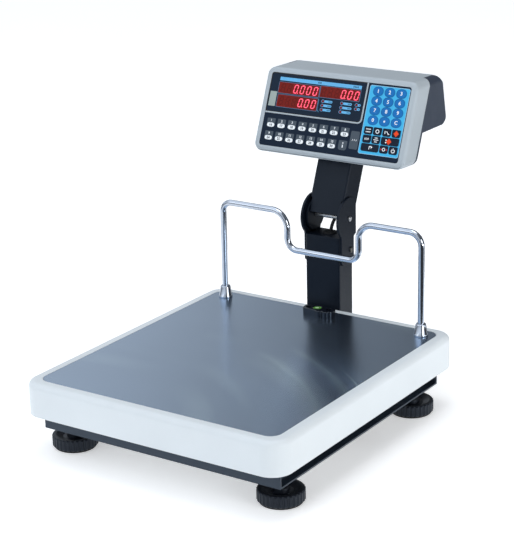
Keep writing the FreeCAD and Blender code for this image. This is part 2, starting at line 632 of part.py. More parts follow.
def section_loft(d0, d1, inset):
    """The head's rounded cross section, between its sloping roof and underside."""
    r = HEAD_R - inset
    wires = []
    for d in (d0, d1):
        x, low, high = HEAD_HALF - inset, underside(d) + inset, roof(d) - inset
        ring = [(-x, d, low), (x, d, low), (x, d, high), (-x, d, high)]
        wires.append(rounded_wire(ring, r, closed=True))
    return Part.makeLoft(wires, True, True)


def head_front_shell():
    """The light front shell: a rounded frame round the key panel, with a hood over the rear box."""
    outer = section_loft(0, SHELL_DEPTH, 0)
    face = [e for e in outer.Edges if all(abs(p.Point.y) < 1e-6 for p in e.Vertexes)]
    outer = outer.makeFillet(HEAD_EDGE_R, face)
    inner = section_loft(SHELL_WALL, SHELL_DEPTH + 1, SHELL_WALL)
    hood = side_prism([(SHELL_DEPTH - 1, roof(SHELL_DEPTH - 1) - SHELL_WALL),
                       (HOOD_END, roof(HOOD_END) - SHELL_WALL), (HOOD_END, roof(HOOD_END)),
                       (SHELL_DEPTH - 1, roof(SHELL_DEPTH - 1))], -HOOD_HALF, HOOD_HALF)
    x0, x1, v0, v1 = WINDOW
    shell = outer.cut(inner).fuse(hood).removeSplitter()
    panel = panel_slab(0.3, -1.0, PANEL_T + 0.2)
    port = box(x0, x1, -1, SHELL_WALL + 1, v0, v1)
    return cut_all(shell, [panel, port, neck_room(0.5)])


def panel_slab(gap, d0, d1):
    slab = box(-PANEL_HALF - gap, PANEL_HALF + gap, d0, d1, -gap, PANEL_H + gap)
    upright = [e for e in slab.Edges if abs(e.tangentAt(e.FirstParameter).y) > 0.99]
    return slab.makeFillet(4.0 + gap, upright)


def keypad_overlay():
    """The printed film: keys and red display windows."""
    return panel_slab(0.0, 0.2, PANEL_T + 0.2)


def rear_envelope(inset):
    return section_loft(REAR_START - 3, 125.0, inset)


def head_rear_shell():
    """The dark rear shell: a back plate, and a box that stands out of its upper half."""
    back = section_loft(REAR_START, BACK_PLATE, 0)
    pocket = section_loft(REAR_START - 1, BACK_PLATE - SHELL_WALL, SHELL_WALL)
    body = side_prism(rear_box_outline(REAR_START), -HEAD_HALF, HEAD_HALF, REAR_ROUNDS)
    body = body.common(rear_envelope(0))
    outline = Part.Face(rounded_wire([(0, d, v) for d, v in rear_box_outline(20.0)], REAR_ROUNDS,
                                     closed=True))
    room = outline.makeOffset2D(-SHELL_WALL)
    room.translate(V(-HEAD_HALF, 0, 0))
    room = room.extrude(V(2 * HEAD_HALF, 0, 0)).common(rear_envelope(SHELL_WALL))
    hood_seat = side_prism([(REAR_START - 1, roof(REAR_START - 1) - SHELL_WALL - 0.2),
                            (HOOD_END + 0.3, roof(HOOD_END + 0.3) - SHELL_WALL - 0.2),
                            (HOOD_END + 0.3, roof(HOOD_END + 0.3) + 2),
                            (REAR_START - 1, roof(REAR_START - 1) + 2)],
                           -HOOD_HALF - 0.3, HOOD_HALF + 0.3)
    ledge = side_prism([(REAR_START, roof(REAR_START) - 5.2), (HOOD_END + 2, roof(HOOD_END + 2) - 5.2),
                        (HOOD_END + 2, roof(HOOD_END + 2) - 2.7), (REAR_START, roof(REAR_START) - 2.7)],
                       -HOOD_HALF - 2, HOOD_HALF + 2)
    shell = back.fuse(body).cut(pocket).cut(room).fuse(ledge).removeSplitter()
    tools = [hood_seat, neck_room(0.5), rear_window_slab(0.15, -0.1, 1.6), rear_window_slab(-4.0, -1, 6),
             inlet_body()]
    tools += [to_bottom(cylinder(2.0, 12, (x, y, -6))) for x, y in FLANGE_SCREWS]
    tools += [cylinder(1.6, 12, (x, BACK_PLATE + 1, v), (0, -1, 0)) for x, v in SHELL_SCREWS]
    return cut_all(shell, tools)


def to_bottom(shape):
    """Puts a flat shape on the rear box's underside: its X across, Y along the slope, Z inward."""
    shape = shape.copy()
    shape.rotate(V(0, 0, 0), V(1, 0, 0), math.degrees(math.atan(FLOOR_SLOPE)))
    shape.translate(V(0, FLOOR_A[0], FLOOR_A[1]))
    return shape


def to_rear(shape):
    """Puts a shape on the rear face: its X across, Y into the box, Z up the face."""
    shape = shape.copy()
    shape.rotate(V(0, 0, 0), V(0, 0, 1), 180)
    shape.rotate(V(0, 0, 0), V(1, 0, 0), REAR_ANGLE)
    shape.translate(V(0, REAR_MIDDLE[0], REAR_MIDDLE[1]))
    return shape


def rear_window_slab(gap, d0, d1):
    slab = box(-88 - gap, 88 + gap, d0, d1, -17 - gap, 17 + gap)
    upright = [e for e in slab.Edges if abs(e.tangentAt(e.FirstParameter).y) > 0.99]
    return to_rear(slab.makeFillet(4.5 + gap, upright))


def customer_window():
    return rear_window_slab(0.0, 0.0, 1.6)


def customer_led_modules():
    """Three digit blocks on their own board, facing the customer."""
    board = box(-84, 84, 9.0, 10.6, -13.5, 13.5)
    blocks = [box(x - 25, x + 25, 3.0, 9.0, -8.5, 8.5) for x in (-56, 0, 56)]
    return to_rear(board.fuse(blocks))


def neck_tube():
    """Rectangular tube with a flange welded on for the rear box, and its foot cut round for the discs."""
    hw, w = NECK_W / 2, NECK_WALL
    outer = rounded_box(-hw, hw, NECK_D0, NECK_D1, NECK_LOW, NECK_HIGH, NECK_R)
    bore = rounded_box(-hw + w, hw - w, NECK_D0 + w, NECK_D1 - w, NECK_LOW - 1, NECK_HIGH + 1, 1.0)
    flange = to_bottom(rounded_box(-52, 52, 4.0, 52.0, SHELL_WALL + 0.1, SHELL_WALL + 3.1, 6.0))
    neck = outer.fuse(flange).cut(bore)
    tools = []
    for side in SIDES:
        x = hw - DISC_T if side > 0 else -hw - 2
        tools.append(cylinder(FOOT_CUT_R, DISC_T + 2, (x, NECK_MID, PIVOT_V), (1, 0, 0)))
    tools += [to_bottom(cylinder(2.0, 12, (x, y, -3))) for x, y in FLANGE_SCREWS]
    return cut_all(neck, tools)


def hinge_discs():
    """Two discs welded in the neck's foot; the pivot bolt runs through them."""
    discs = []
    for side in SIDES:
        x0 = NECK_W / 2 - DISC_T if side > 0 else -NECK_W / 2
        disc = cylinder(DISC_R, DISC_T, (x0, NECK_MID, PIVOT_V), (1, 0, 0))
        rim = x0 + DISC_T if side > 0 else x0
        edge = [e for e in disc.Edges if all(abs(p.Point.x - rim) < 1e-6 for p in e.Vertexes)]
        disc = disc.makeFillet(2.0, edge)
        discs.append(disc.cut(cylinder(PIVOT_R + 0.05, 20, (x0 - 5, NECK_MID, PIVOT_V), (1, 0, 0))))
    return group(discs)


def led_board():
    x0, x1, v0, v1 = WINDOW
    return box(x0 - 8, x1 + 8, 8.0, 9.6, v0 - 6, v1 + 8)


def led_modules():
    """Three digit blocks of six digits each, and eight indicator lamps."""
    blocks = [box(-110, -35.5, 1.5, 8.0, 86.6, 104.0), box(-32.5, 40, 1.5, 8.0, 88.0, 105.2),
              box(-109, -35.5, 1.5, 8.0, 64.4, 84.8)]
    lamps = [cylinder(1.5, 6.5, (x, 1.5, v), (0, 1, 0)) for x, v in LAMPS]
    return group(blocks + lamps)


def main_board():
    board = box(-112, 112, 20.0, 21.6, 4, 58)
    parts = [box(-90, -60, 21.6, 26.5, 20, 45), box(60, 84, 21.6, 27.5, 24, 46),
             box(-10, 12, 15.0, 20.0, 24, 44)]
    return board.fuse(parts)


def battery():
    block = rounded_box(-122, -58, 12.0, 56.0, SHELL_WALL + 0.3, SHELL_WALL + 50.0, 3.0)
    return to_bottom(block)


def inlet_body():
    return to_bottom(cylinder(INLET_R, 16.0, (*INLET_AT, -1.2)))


def power_inlet():
    """The low voltage socket under the rear box, and its collar."""
    x, y = INLET_AT
    collar = to_bottom(cylinder(8.5, 1.2, (x, y, -1.2)))
    pin_bore = to_bottom(cylinder(3.2, 10.0, (x, y, -2.0)))
    return inlet_body().fuse(collar).cut(pin_bore)


def head_screws():
    """Screws up into the neck's flange and screws through the back plate."""
    screws = [to_bottom(screw(1.95, 8, 3.8, 2.2, (x, y, 0), (0, 0, -1))) for x, y in FLANGE_SCREWS]
    screws += [screw(1.55, 9, 3.2, 2.0, (x, BACK_PLATE, v), (0, 1, 0)) for x, v in SHELL_SCREWS]
    return group(screws)


HEAD_PIECES = {"neck_tube": neck_tube, "hinge_discs": hinge_discs, "head_front_shell": head_front_shell,
               "head_rear_shell": head_rear_shell, "keypad_overlay": keypad_overlay,
               "led_board": led_board, "led_modules": led_modules, "main_board": main_board,
               "battery": battery, "customer_window": customer_window,
               "customer_led_modules": customer_led_modules, "power_inlet": power_inlet,
               "head_screws": head_screws}


def assembly():
    """Every node's name and shape, about the platform's centre."""
    nodes = {"pan_skirt": pan_skirt(), "pan_plate": pan_plate(), "guard_rail": guard_rail(),
             "rail_sockets": rail_sockets(), "rail_fixings": rail_fixings(),
             "level_housing": level_housing(), "level_vial": level_vial(),
             "level_screws": level_screws(), "side_rail_left": side_rail(-1),
             "side_rail_right": side_rail(1), "frame_screws": frame_screws(),
             "front_cross_member": cross_member(-1), "rear_cross_member": cross_member(1),
             "corner_plates": corner_plates(), "overload_stops": overload_stops(),
             "foot_nuts": foot_nuts(), "centre_beam": centre_beam(),
             "load_cell_spacer": load_cell_spacer(), "load_cell": load_cell(),
             "load_cell_base_bolts": load_cell_base_bolts(),
             "load_cell_live_bolts": load_cell_live_bolts(), "carrier_plate": carrier_plate(),
             "carrier_arms": carrier_arms(), "carrier_pads": carrier_pads(),
             "mast_foot_bracket": mast_foot_bracket(), "mast_tube": mast_tube(),
             "mast_bolts": mast_bolts(), "mast_top_plate": mast_top_plate(),
             "cable_grommet": cable_grommet(), "cheek_left": cheek(-1), "cheek_right": cheek(1),
             "cheek_screws": cheek_screws(), "pivot_bolt": pivot_bolt(),
             "signal_cable": signal_cable()}
    for i, (sx, sy) in enumerate(CORNERS, 1):
        at = (sx * FOOT_X, sy * FOOT_Y)
        nodes["foot_sole_%d" % i] = foot_sole(*at)
        nodes["foot_wheel_%d" % i] = foot_wheel(*at)
        nodes["foot_stud_%d" % i] = foot_stud(*at)
    for name, make in HEAD_PIECES.items():
        nodes[name] = to_world(make())
    return nodes


def main():
    os.makedirs("parts", exist_ok=True)
    nodes = assembly()
    bounds = FreeCAD.BoundBox()
    for shape in nodes.values():
        bounds.add(shape.optimalBoundingBox(True, False))
    middle_y = (bounds.YMin + bounds.YMax) / 2.0
    for name, shape in nodes.items():
        shape.translate(V(0, -middle_y, 0))
        if not shape.isValid() or not shape.Solids:
            raise ValueError("not a valid solid: " + name)
        shape.exportStep("parts/%s.step" % name)
    print("%d nodes; platform centre at y = %.3f; box %.1f x %.1f x %.1f; x centre %.3f"
          % (len(nodes), -middle_y, bounds.XLength, bounds.YLength, bounds.ZLength,
             (bounds.XMin + bounds.XMax) / 2.0))


main()
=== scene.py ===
"""Bench platform scale: finishes, key panel, digits, level, threads, cable and studio round its CAD frame."""

import json
import math

import bmesh
import bpy
from bpy.props import FloatProperty, FloatVectorProperty, PointerProperty
from mathutils import Matrix, Vector


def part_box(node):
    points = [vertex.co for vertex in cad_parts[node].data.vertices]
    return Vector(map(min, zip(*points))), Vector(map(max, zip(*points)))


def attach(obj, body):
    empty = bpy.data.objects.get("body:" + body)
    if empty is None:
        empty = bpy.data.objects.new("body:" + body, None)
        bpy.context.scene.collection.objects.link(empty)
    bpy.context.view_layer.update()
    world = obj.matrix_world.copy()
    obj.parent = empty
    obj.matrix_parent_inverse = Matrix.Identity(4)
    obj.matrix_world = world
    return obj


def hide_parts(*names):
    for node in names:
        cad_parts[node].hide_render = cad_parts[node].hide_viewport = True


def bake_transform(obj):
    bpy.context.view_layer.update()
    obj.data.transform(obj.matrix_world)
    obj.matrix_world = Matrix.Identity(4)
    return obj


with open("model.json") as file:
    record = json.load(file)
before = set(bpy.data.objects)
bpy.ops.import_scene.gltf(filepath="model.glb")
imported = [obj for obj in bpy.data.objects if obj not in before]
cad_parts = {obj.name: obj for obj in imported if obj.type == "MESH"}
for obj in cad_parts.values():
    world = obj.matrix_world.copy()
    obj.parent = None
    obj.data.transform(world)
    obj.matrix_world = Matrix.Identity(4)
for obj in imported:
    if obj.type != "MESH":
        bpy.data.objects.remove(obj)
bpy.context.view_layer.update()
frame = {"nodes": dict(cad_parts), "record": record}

bl_info = {
    "name": "Bench Scale Maker",
    "version": (1, 0, 0),
    "blender": (4, 5, 0),
    "location": "View3D > Sidebar > Bench Scale",
    "description": "Dresses a packed bench scale: finishes, key panel, displays, level, cable and studio",
    "category": "Object",
}

MM = 0.001


# ---------------------------------------------------------------- values a user would change

def linear(value):
    """One sRGB channel, 0 to 255, as scene-linear light."""
    share = value / 255
    return share / 12.92 if share <= 0.04045 else ((share + 0.055) / 1.055) ** 2.4


def colour(name, description, red, green, blue):
    return FloatVectorProperty(name=name, description=description, subtype="COLOR", size=3, min=0.0, max=1.0,
                               default=(linear(red), linear(green), linear(blue)))


def length(name, description, millimetres):
    return FloatProperty(name=name, description=description, default=millimetres * MM, min=0.0,
                         subtype="DISTANCE", unit="LENGTH", precision=5)


class BenchScaleColours(bpy.types.PropertyGroup):
    """Colours of every finish."""
    pan_paint: colour("Pan paint", "Powder coat on the pan's skirt", 221, 227, 230)
    stainless: colour("Stainless", "Brushed weighing plate", 168, 186, 206)
    chrome: colour("Chrome", "Plated goods rail and its sockets", 186, 194, 206)
    frame_paint: colour("Frame paint", "Slate powder coat on the base frame", 40, 50, 62)
    mast_paint: colour("Mast paint", "Black powder coat on mast, knuckle and neck", 10, 17, 28)
    zinc: colour("Zinc", "Plated bolts, nuts and studs", 190, 194, 200)
    dark_steel: colour("Dark steel", "Blackened screws", 52, 55, 60)
    aluminium: colour("Aluminium", "Machined load cell", 196, 199, 203)
    foot_plastic: colour("Foot plastic", "Moulded foot wheels", 12, 15, 24)
    rubber: colour("Rubber", "Soles, pads and grommet", 20, 21, 24)
    level_plastic: colour("Level plastic", "Glossy black block of the level", 8, 11, 20)
    vial: colour("Vial", "Liquid in the level's vial", 96, 160, 58)
    shell_light: colour("Light shell", "Front housing and bezel", 170, 179, 185)
    shell_dark: colour("Dark shell", "Rear housing", 48, 55, 69)
    film: colour("Film", "Navy printed key film", 15, 31, 50)
    glass: colour("Display glass", "Navy display window", 14, 33, 52)
    pad: colour("Number pad", "Light blue ground behind the number keys", 68, 178, 226)
    number_key: colour("Number key", "Blue oval keys", 22, 110, 180)
    pale_blue: colour("Pale blue", "Printed bars, outlines and label pills", 103, 178, 226)
    tab: colour("Tab", "Grey tabs and grey keys", 74, 84, 94)
    white: colour("White", "White pills and key marks", 236, 241, 245)
    red_lens: colour("Red lens", "Filter in front of the digits", 116, 24, 16)
    unlit: colour("Unlit segment", "Digit segments that are off", 92, 15, 11)
    lit: colour("Lit segment", "Digit segments that are on", 255, 76, 104)
    orange: colour("Orange", "Diamonds on two function keys", 236, 74, 34)
    red: colour("Red", "Arrows on the zero key", 204, 32, 40)
    label: colour("Label", "Blank foil label beside the digits", 158, 170, 166)
    board: colour("Circuit board", "Solder mask", 22, 74, 48)
    battery: colour("Battery", "Battery case", 44, 46, 52)
    cable: colour("Cable", "Jacket of the signal cable", 15, 16, 20)


class BenchScaleSizes(bpy.types.PropertyGroup):
    """Sizes of what is laid on the CAD parts."""
    digit_height: length("Digit height", "Height of the operator's digits", 14.1)
    digit_width: length("Digit width", "Width of the operator's digits", 7.6)
    digit_pitch: length("Digit pitch", "Distance from digit to digit", 12.1)
    segment: length("Segment", "Thickness of a digit segment", 1.5)
    number_key_width: length("Number key width", "Width of an oval key", 18.0)
    number_key_height: length("Number key height", "Height of an oval key", 14.5)
    preset_pitch: length("Preset pitch", "Distance from preset key to preset key", 19.7)
    ridge_width: length("Ridge width", "Width of the ridge round the display window", 2.6)
    cable_diameter: length("Cable diameter", "Outside of the signal cable", 5.5)
    thread_pitch: length("Thread pitch", "Pitch of the foot studs", 1.5)


class BenchScaleStudio(bpy.types.PropertyGroup):
    """Camera and lights."""
    camera_place: FloatVectorProperty(name="Camera place", description="Where the camera stands", size=3,
                                      subtype="XYZ", unit="LENGTH", default=(1.3715, -2.06601, 1.0416))
    azimuth: FloatProperty(name="Azimuth", description="Turn of the camera about the vertical",
                           default=math.radians(34.11), subtype="ANGLE", unit="ROTATION")
    elevation: FloatProperty(name="Elevation", description="How far the camera looks down",
                             default=math.radians(18.32), subtype="ANGLE", unit="ROTATION")
    roll: FloatProperty(name="Roll", description="Turn of the camera about its own axis",
                        default=math.radians(-1.28), subtype="ANGLE", unit="ROTATION")
    lens: FloatProperty(name="Lens", description="Focal length on a 36 mm sensor", default=113.63,
                        min=10.0, unit="CAMERA")
    key_power: FloatProperty(name="Key light", description="Power of the large light on the right",
                             default=22.0, min=0.0, subtype="POWER", unit="POWER")
    fill_power: FloatProperty(name="Fill light", description="Power of the large light on the left",
                              default=12.0, min=0.0, subtype="POWER", unit="POWER")
    floor_glow: FloatProperty(name="Floor glow", description="Light of the floor itself",
                              default=0.42, min=0.0)
    strip_power: FloatProperty(name="Strip light", description="Power of the low strip on the right",
                               default=8.0, min=0.0, subtype="POWER", unit="POWER")
    top_power: FloatProperty(name="Top light", description="Power of the light overhead",
                             default=22.0, min=0.0, subtype="POWER", unit="POWER")


def colours():
    return bpy.context.scene.bench_scale_colours


def sizes():
    return bpy.context.scene.bench_scale_sizes


# ---------------------------------------------------------------- finishes

COOL_SHEEN = (0.72, 0.84, 1.0, 1.0)
# Painted highlight arcs on the plate, where the brushing catches the light: radius, half width and start in
# millimetres, and strength.
HIGHLIGHT_ARCS = ((443, 17, 150, 0.4), (493, 11, 190, 0.5), (516, 3, 290, 1.0))
# Middle of the painted highlight arcs, and how far along the plate each one fades in, in millimetres.
HIGHLIGHT_ARC_CENTRE = (54, -160)
HIGHLIGHT_ARC_GROWTH = 70


class Finish:
    """A material in the making: its shader, and patterns that follow the object's own space."""

    def __init__(self, name, base, roughness, metallic=0.0, **sockets):
        self.material = bpy.data.materials.new(name)
        self.material.use_nodes = True
        self.tree = self.material.node_tree
        self.shader = self.tree.nodes["Principled BSDF"]
        self.base = tuple(base)
        self.set(Base_Color=(*self.base, 1.0), Roughness=roughness, Metallic=metallic, **sockets)
        self.place = self.add("ShaderNodeTexCoord").outputs["Object"]
        self.relief = None

    def add(self, kind):
        return self.tree.nodes.new(kind)

    def join(self, source, target):
        self.tree.links.new(source, target)

    def set(self, **values):
        """Sets shader sockets by name, with underscores for spaces."""
        for name, value in values.items():
            self.shader.inputs[name.replace("_", " ")].default_value = value

    def noise(self, scale, detail=3.0, stretch=None, vector=None):
        node = self.add("ShaderNodeTexNoise")
        node.inputs["Scale"].default_value = scale
        node.inputs["Detail"].default_value = detail
        source = vector or self.place
        if stretch:
            mapping = self.add("ShaderNodeMapping")
            mapping.inputs["Scale"].default_value = stretch
            self.join(self.place, mapping.inputs["Vector"])
            source = mapping.outputs["Vector"]
        self.join(source, node.inputs["Vector"])
        return node.outputs["Fac"]

    def remap(self, source, start, end, low, high):
        node = self.add("ShaderNodeMapRange")
        for name, value in (("From Min", start), ("From Max", end), ("To Min", low), ("To Max", high)):
            node.inputs[name].default_value = value
        self.join(source, node.inputs["Value"])
        return node.outputs["Result"]

    def math(self, operation, first, second):
        node = self.add("ShaderNodeMath")
        node.operation = operation
        for socket, value in zip(node.inputs, (first, second)):
            if isinstance(value, (int, float)):
                socket.default_value = value
            else:
                self.join(value, socket)
        return node.outputs["Value"]

    def vector_math(self, operation, source, other=(0.0, 0.0, 0.0)):
        node = self.add("ShaderNodeVectorMath")
        node.operation = operation
        node.inputs[1].default_value = other
        self.join(source, node.inputs[0])
        return node.outputs["Value" if operation == "LENGTH" else "Vector"]

    def tint(self, factor, other, target="Base Color"):
        """Goes from the colour so far to another one as factor goes from 0 to 1."""
        node = self.add("ShaderNodeMix")
        node.data_type = "RGBA"
        first, second, result = node.inputs[6], node.inputs[7], node.outputs[2]
        links = self.shader.inputs[target].links
        if links:
            self.join(links[0].from_socket, first)
        else:
            first.default_value = self.shader.inputs[target].default_value
        second.default_value = (*other, 1.0)
        self.join(factor, node.inputs[0])
        self.join(result, self.shader.inputs[target])
        return self

    def shaded(self, factor, share):
        """Darkens or lightens the colour by a share where factor is 1."""
        return self.tint(factor, tuple(min(1.0, channel * share) for channel in self.base))

    def mottled(self, scale, detail, start, end, share, amount=1.0, stretch=None):
        """Shades by a share in soft blotches."""
        return self.shaded(self.remap(self.noise(scale, detail, stretch), start, end, 0.0, amount), share)

    def rough(self, source, low, high, start=0.3, end=0.7):
        self.join(self.remap(source, start, end, low, high), self.shader.inputs["Roughness"])
        return self

    def gloss(self, scale, detail, low, high):
        """Uneven roughness."""
        return self.rough(self.noise(scale, detail), low, high)

    def bump(self, height, depth, strength):
        """Adds relief of a depth in millimetres on top of the relief so far."""
        node = self.add("ShaderNodeBump")
        node.inputs["Strength"].default_value = strength
        node.inputs["Distance"].default_value = depth * MM
        self.join(height, node.inputs["Height"])
        if self.relief:
            self.join(self.relief, node.inputs["Normal"])
        self.relief = node.outputs["Normal"]
        self.join(self.relief, self.shader.inputs["Normal"])
        return self

    def grain(self, scale, detail, depth, strength):
        """Fine relief."""
        return self.bump(self.noise(scale, detail), depth, strength)

    def eased_edges(self, radius):
        """Shades sharp edges as if they were rounded."""
        node = self.add("ShaderNodeBevel")
        node.samples = 4
        node.inputs["Radius"].default_value = radius * MM
        self.relief = node.outputs["Normal"]
        return self


def powder_coat(name, base, roughness, peel=1.0, specular=0.5):
    """Sprayed and baked paint: orange peel, a few specks and slow drifts of colour and gloss."""
    finish = Finish(name, base, roughness, Specular_IOR_Level=specular, Specular_Tint=COOL_SHEEN)
    finish.eased_edges(0.8).mottled(7.0, 3.0, 0.35, 0.7, 0.94).mottled(1500.0, 2.0, 0.66, 0.78, 1.25, 0.5)
    finish.gloss(30.0, 2.0, roughness - 0.02, roughness + 0.02).grain(620.0, 2.0, 0.06 * peel, 0.5)
    return finish.material


def moulded(name, base, roughness, grain=1400.0, depth=0.03, scuff=1.12, spread=0.07):
    """Moulded plastic with a spark-eroded grain, faint flow marks and a handled sheen."""
    finish = Finish(name, base, roughness, Specular_Tint=COOL_SHEEN)
    finish.eased_edges(0.5).mottled(9.0, 2.0, 0.35, 0.7, 0.95, stretch=(1.0, 1.0, 2.6))
    finish.mottled(55.0, 5.0, 0.6, 0.75, scuff, 0.35)
    finish.gloss(24.0, 4.0, roughness - spread, roughness + spread).grain(grain, 2.0, depth, 0.45)
    return finish.material


def brushed_steel(name, base):
    """Satin stainless sheet: fine lines along the plate and soft clouds, with painted highlights in curved
    bands and arcs where the brushing catches the light.
    """
    finish = Finish(name, base, 0.24, 1.0)
    low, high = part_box("pan_plate")
    to_object = frame["nodes"]["pan_plate"].matrix_world.inverted()
    centre = to_object @ Vector((low.x + HIGHLIGHT_ARC_CENTRE[0] * MM, low.y + HIGHLIGHT_ARC_CENTRE[1] * MM, high.z))
    away = finish.vector_math("SUBTRACT", finish.place, (centre.x, centre.y, 0.0))
    away = finish.vector_math("MULTIPLY", away, (1.0, 1.0, 0.0))
    radius = finish.vector_math("LENGTH", away)
    split = finish.add("ShaderNodeSeparateXYZ")
    finish.join(away, split.inputs["Vector"])
    # Painted highlight: bright arcs round a centre, each fading in from its start along the plate.
    marks = 0.0
    for at, width, reach, strength in HIGHLIGHT_ARCS:
        off = finish.math("ABSOLUTE", finish.math("SUBTRACT", radius, at * MM), 0.0)
        mark = finish.remap(off, 0.0, width * MM, strength, 0.0)
        grown = finish.remap(split.outputs["X"], reach * MM, (reach + HIGHLIGHT_ARC_GROWTH) * MM, 0.0, 1.0)
        marks = finish.math("MAXIMUM", marks, finish.math("MULTIPLY", mark, grown))
    # Painted highlight: bright curved bands swept round the same centre.
    swept = finish.add("ShaderNodeCombineXYZ")
    finish.join(finish.math("MULTIPLY", radius, 8.0), swept.inputs["X"])
    finish.join(finish.noise(1.6, 0.0), swept.inputs["Y"])
    highlight_sweeps = finish.noise(1.5, 1.0, vector=swept.outputs["Vector"])
    highlight_streaks = finish.math("MULTIPLY", finish.remap(highlight_sweeps, 0.52, 0.74, 0.0, 1.0),
                          finish.remap(finish.noise(4.2, 1.0), 0.44, 0.62, 0.0, 0.4))
    lines = finish.noise(14.0, 3.0, stretch=(1.0, 190.0, 1.0))
    finish.mottled(3.2, 2.0, 0.3, 0.7, 0.92)
    # The painted highlights lighten the base colour here.
    finish.shaded(finish.math("MAXIMUM", highlight_streaks, marks), 2.1)
    finish.shaded(finish.remap(lines, 0.4, 0.7, 0.0, 0.5), 0.93)
    finish.rough(highlight_streaks, 0.24, 0.34, 0.0, 1.0).bump(lines, 0.008, 0.25)
    return finish.material


def chrome_plate(name, base):
    """Bright plating with faint haze and finger smears."""
    finish = Finish(name, base, 0.06, 1.0).mottled(40.0, 3.0, 0.45, 0.7, 0.9)
    return finish.gloss(70.0, 4.0, 0.04, 0.12).grain(240.0, 2.0, 0.01, 0.2).material


def zinc_plate(name, base, roughness=0.34):
    """Plated steel with the blotchy passivated tint of hardware."""
    finish = Finish(name, base, roughness, 1.0)
    finish.tint(finish.remap(finish.noise(160.0, 3.0), 0.4, 0.65, 0.0, 0.6), (0.52, 0.5, 0.44))
    finish.mottled(420.0, 3.0, 0.55, 0.75, 0.6, 0.8)
    finish.gloss(300.0, 3.0, roughness - 0.08, roughness + 0.14).grain(900.0, 2.0, 0.02, 0.4)
    return finish.material


def machined(name, base):
    """Milled aluminium: cutter lines across the block."""
    finish = Finish(name, base, 0.32, 1.0)
    lines = finish.noise(30.0, 3.0, stretch=(60.0, 1.0, 1.0))
    finish.shaded(finish.remap(lines, 0.4, 0.7, 0.0, 1.0), 0.82)
    return finish.gloss(90.0, 3.0, 0.26, 0.4).bump(lines, 0.02, 0.5).material


def rubber(name, base):
    """Matt rubber with bloom and fine pores."""
    finish = Finish(name, base, 0.75).mottled(38.0, 4.0, 0.5, 0.75, 1.9)
    return finish.gloss(60.0, 3.0, 0.66, 0.86).grain(1100.0, 3.0, 0.05, 0.5).material


def printed(name, base, roughness=0.46, drift=0.93):
    """Screen-printed polyester film: a fine velvet grain and slight unevenness of ink."""
    finish = Finish(name, base, roughness, Specular_IOR_Level=0.12)
    finish.mottled(22.0, 3.0, 0.35, 0.7, drift).mottled(1900.0, 1.0, 0.55, 0.75, 1.12, 0.5)
    finish.gloss(85.0, 3.0, roughness - 0.05, roughness + 0.07).grain(2300.0, 1.0, 0.012, 0.4)
    return finish.material


def window(name, base, roughness=0.24, gloss=0.1):
    """Tinted acrylic with a slight ripple and dust haze."""
    finish = Finish(name, base, roughness, Specular_IOR_Level=gloss)
    finish.mottled(16.0, 2.0, 0.35, 0.7, 0.86).mottled(900.0, 2.0, 0.62, 0.8, 1.3, 0.5)
    finish.gloss(48.0, 4.0, roughness - 0.05, roughness + 0.1).grain(60.0, 1.0, 0.01, 0.3)
    return finish.material


def glowing(name, base, strength):
    """Light from a diode behind its diffuser, a little uneven."""
    finish = Finish(name, base, 0.4, Emission_Strength=strength, Emission_Color=(*base, 1.0))
    haze = finish.noise(700.0, 1.0)
    brighter = tuple(min(1.0, channel * 1.25 + 0.02) for channel in base)
    finish.tint(finish.remap(haze, 0.4, 0.7, 0.0, 0.6), brighter, "Emission Color")
    finish.shaded(finish.remap(haze, 0.4, 0.7, 0.0, 1.0), 0.8)
    return finish.gloss(60.0, 2.0, 0.32, 0.5).material


def solder_mask(name, base):
    """Green board with a darker web of tracks under the mask."""
    finish = Finish(name, base, 0.35)
    tracks = finish.add("ShaderNodeTexVoronoi")
    tracks.feature = "DISTANCE_TO_EDGE"
    tracks.inputs["Scale"].default_value = 260.0
    finish.join(finish.place, tracks.inputs["Vector"])
    finish.shaded(finish.remap(tracks.outputs["Distance"], 0.02, 0.12, 1.0, 0.0), 0.5)
    return finish.gloss(80.0, 3.0, 0.28, 0.45).bump(tracks.outputs["Distance"], 0.03, 0.4).material


def vial_liquid(name, base):
    """Green spirit behind clear acrylic, with a faint painted glow."""
    # Painted glow: a faint emission, though the spirit is no lamp.
    finish = Finish(name, base, 0.06, Coat_Weight=0.8, Coat_Roughness=0.03, Emission_Strength=0.12,
                    Emission_Color=(*base, 1.0))
    return finish.mottled(260.0, 2.0, 0.4, 0.7, 0.6).gloss(200.0, 2.0, 0.04, 0.12).material


def cable_sheath(name, base):
    """Soft cable jacket with a faint grain."""
    finish = Finish(name, base, 0.45).mottled(90.0, 3.0, 0.45, 0.7, 1.5)
    return finish.gloss(120.0, 3.0, 0.38, 0.56).grain(600.0, 2.0, 0.03, 0.4).material


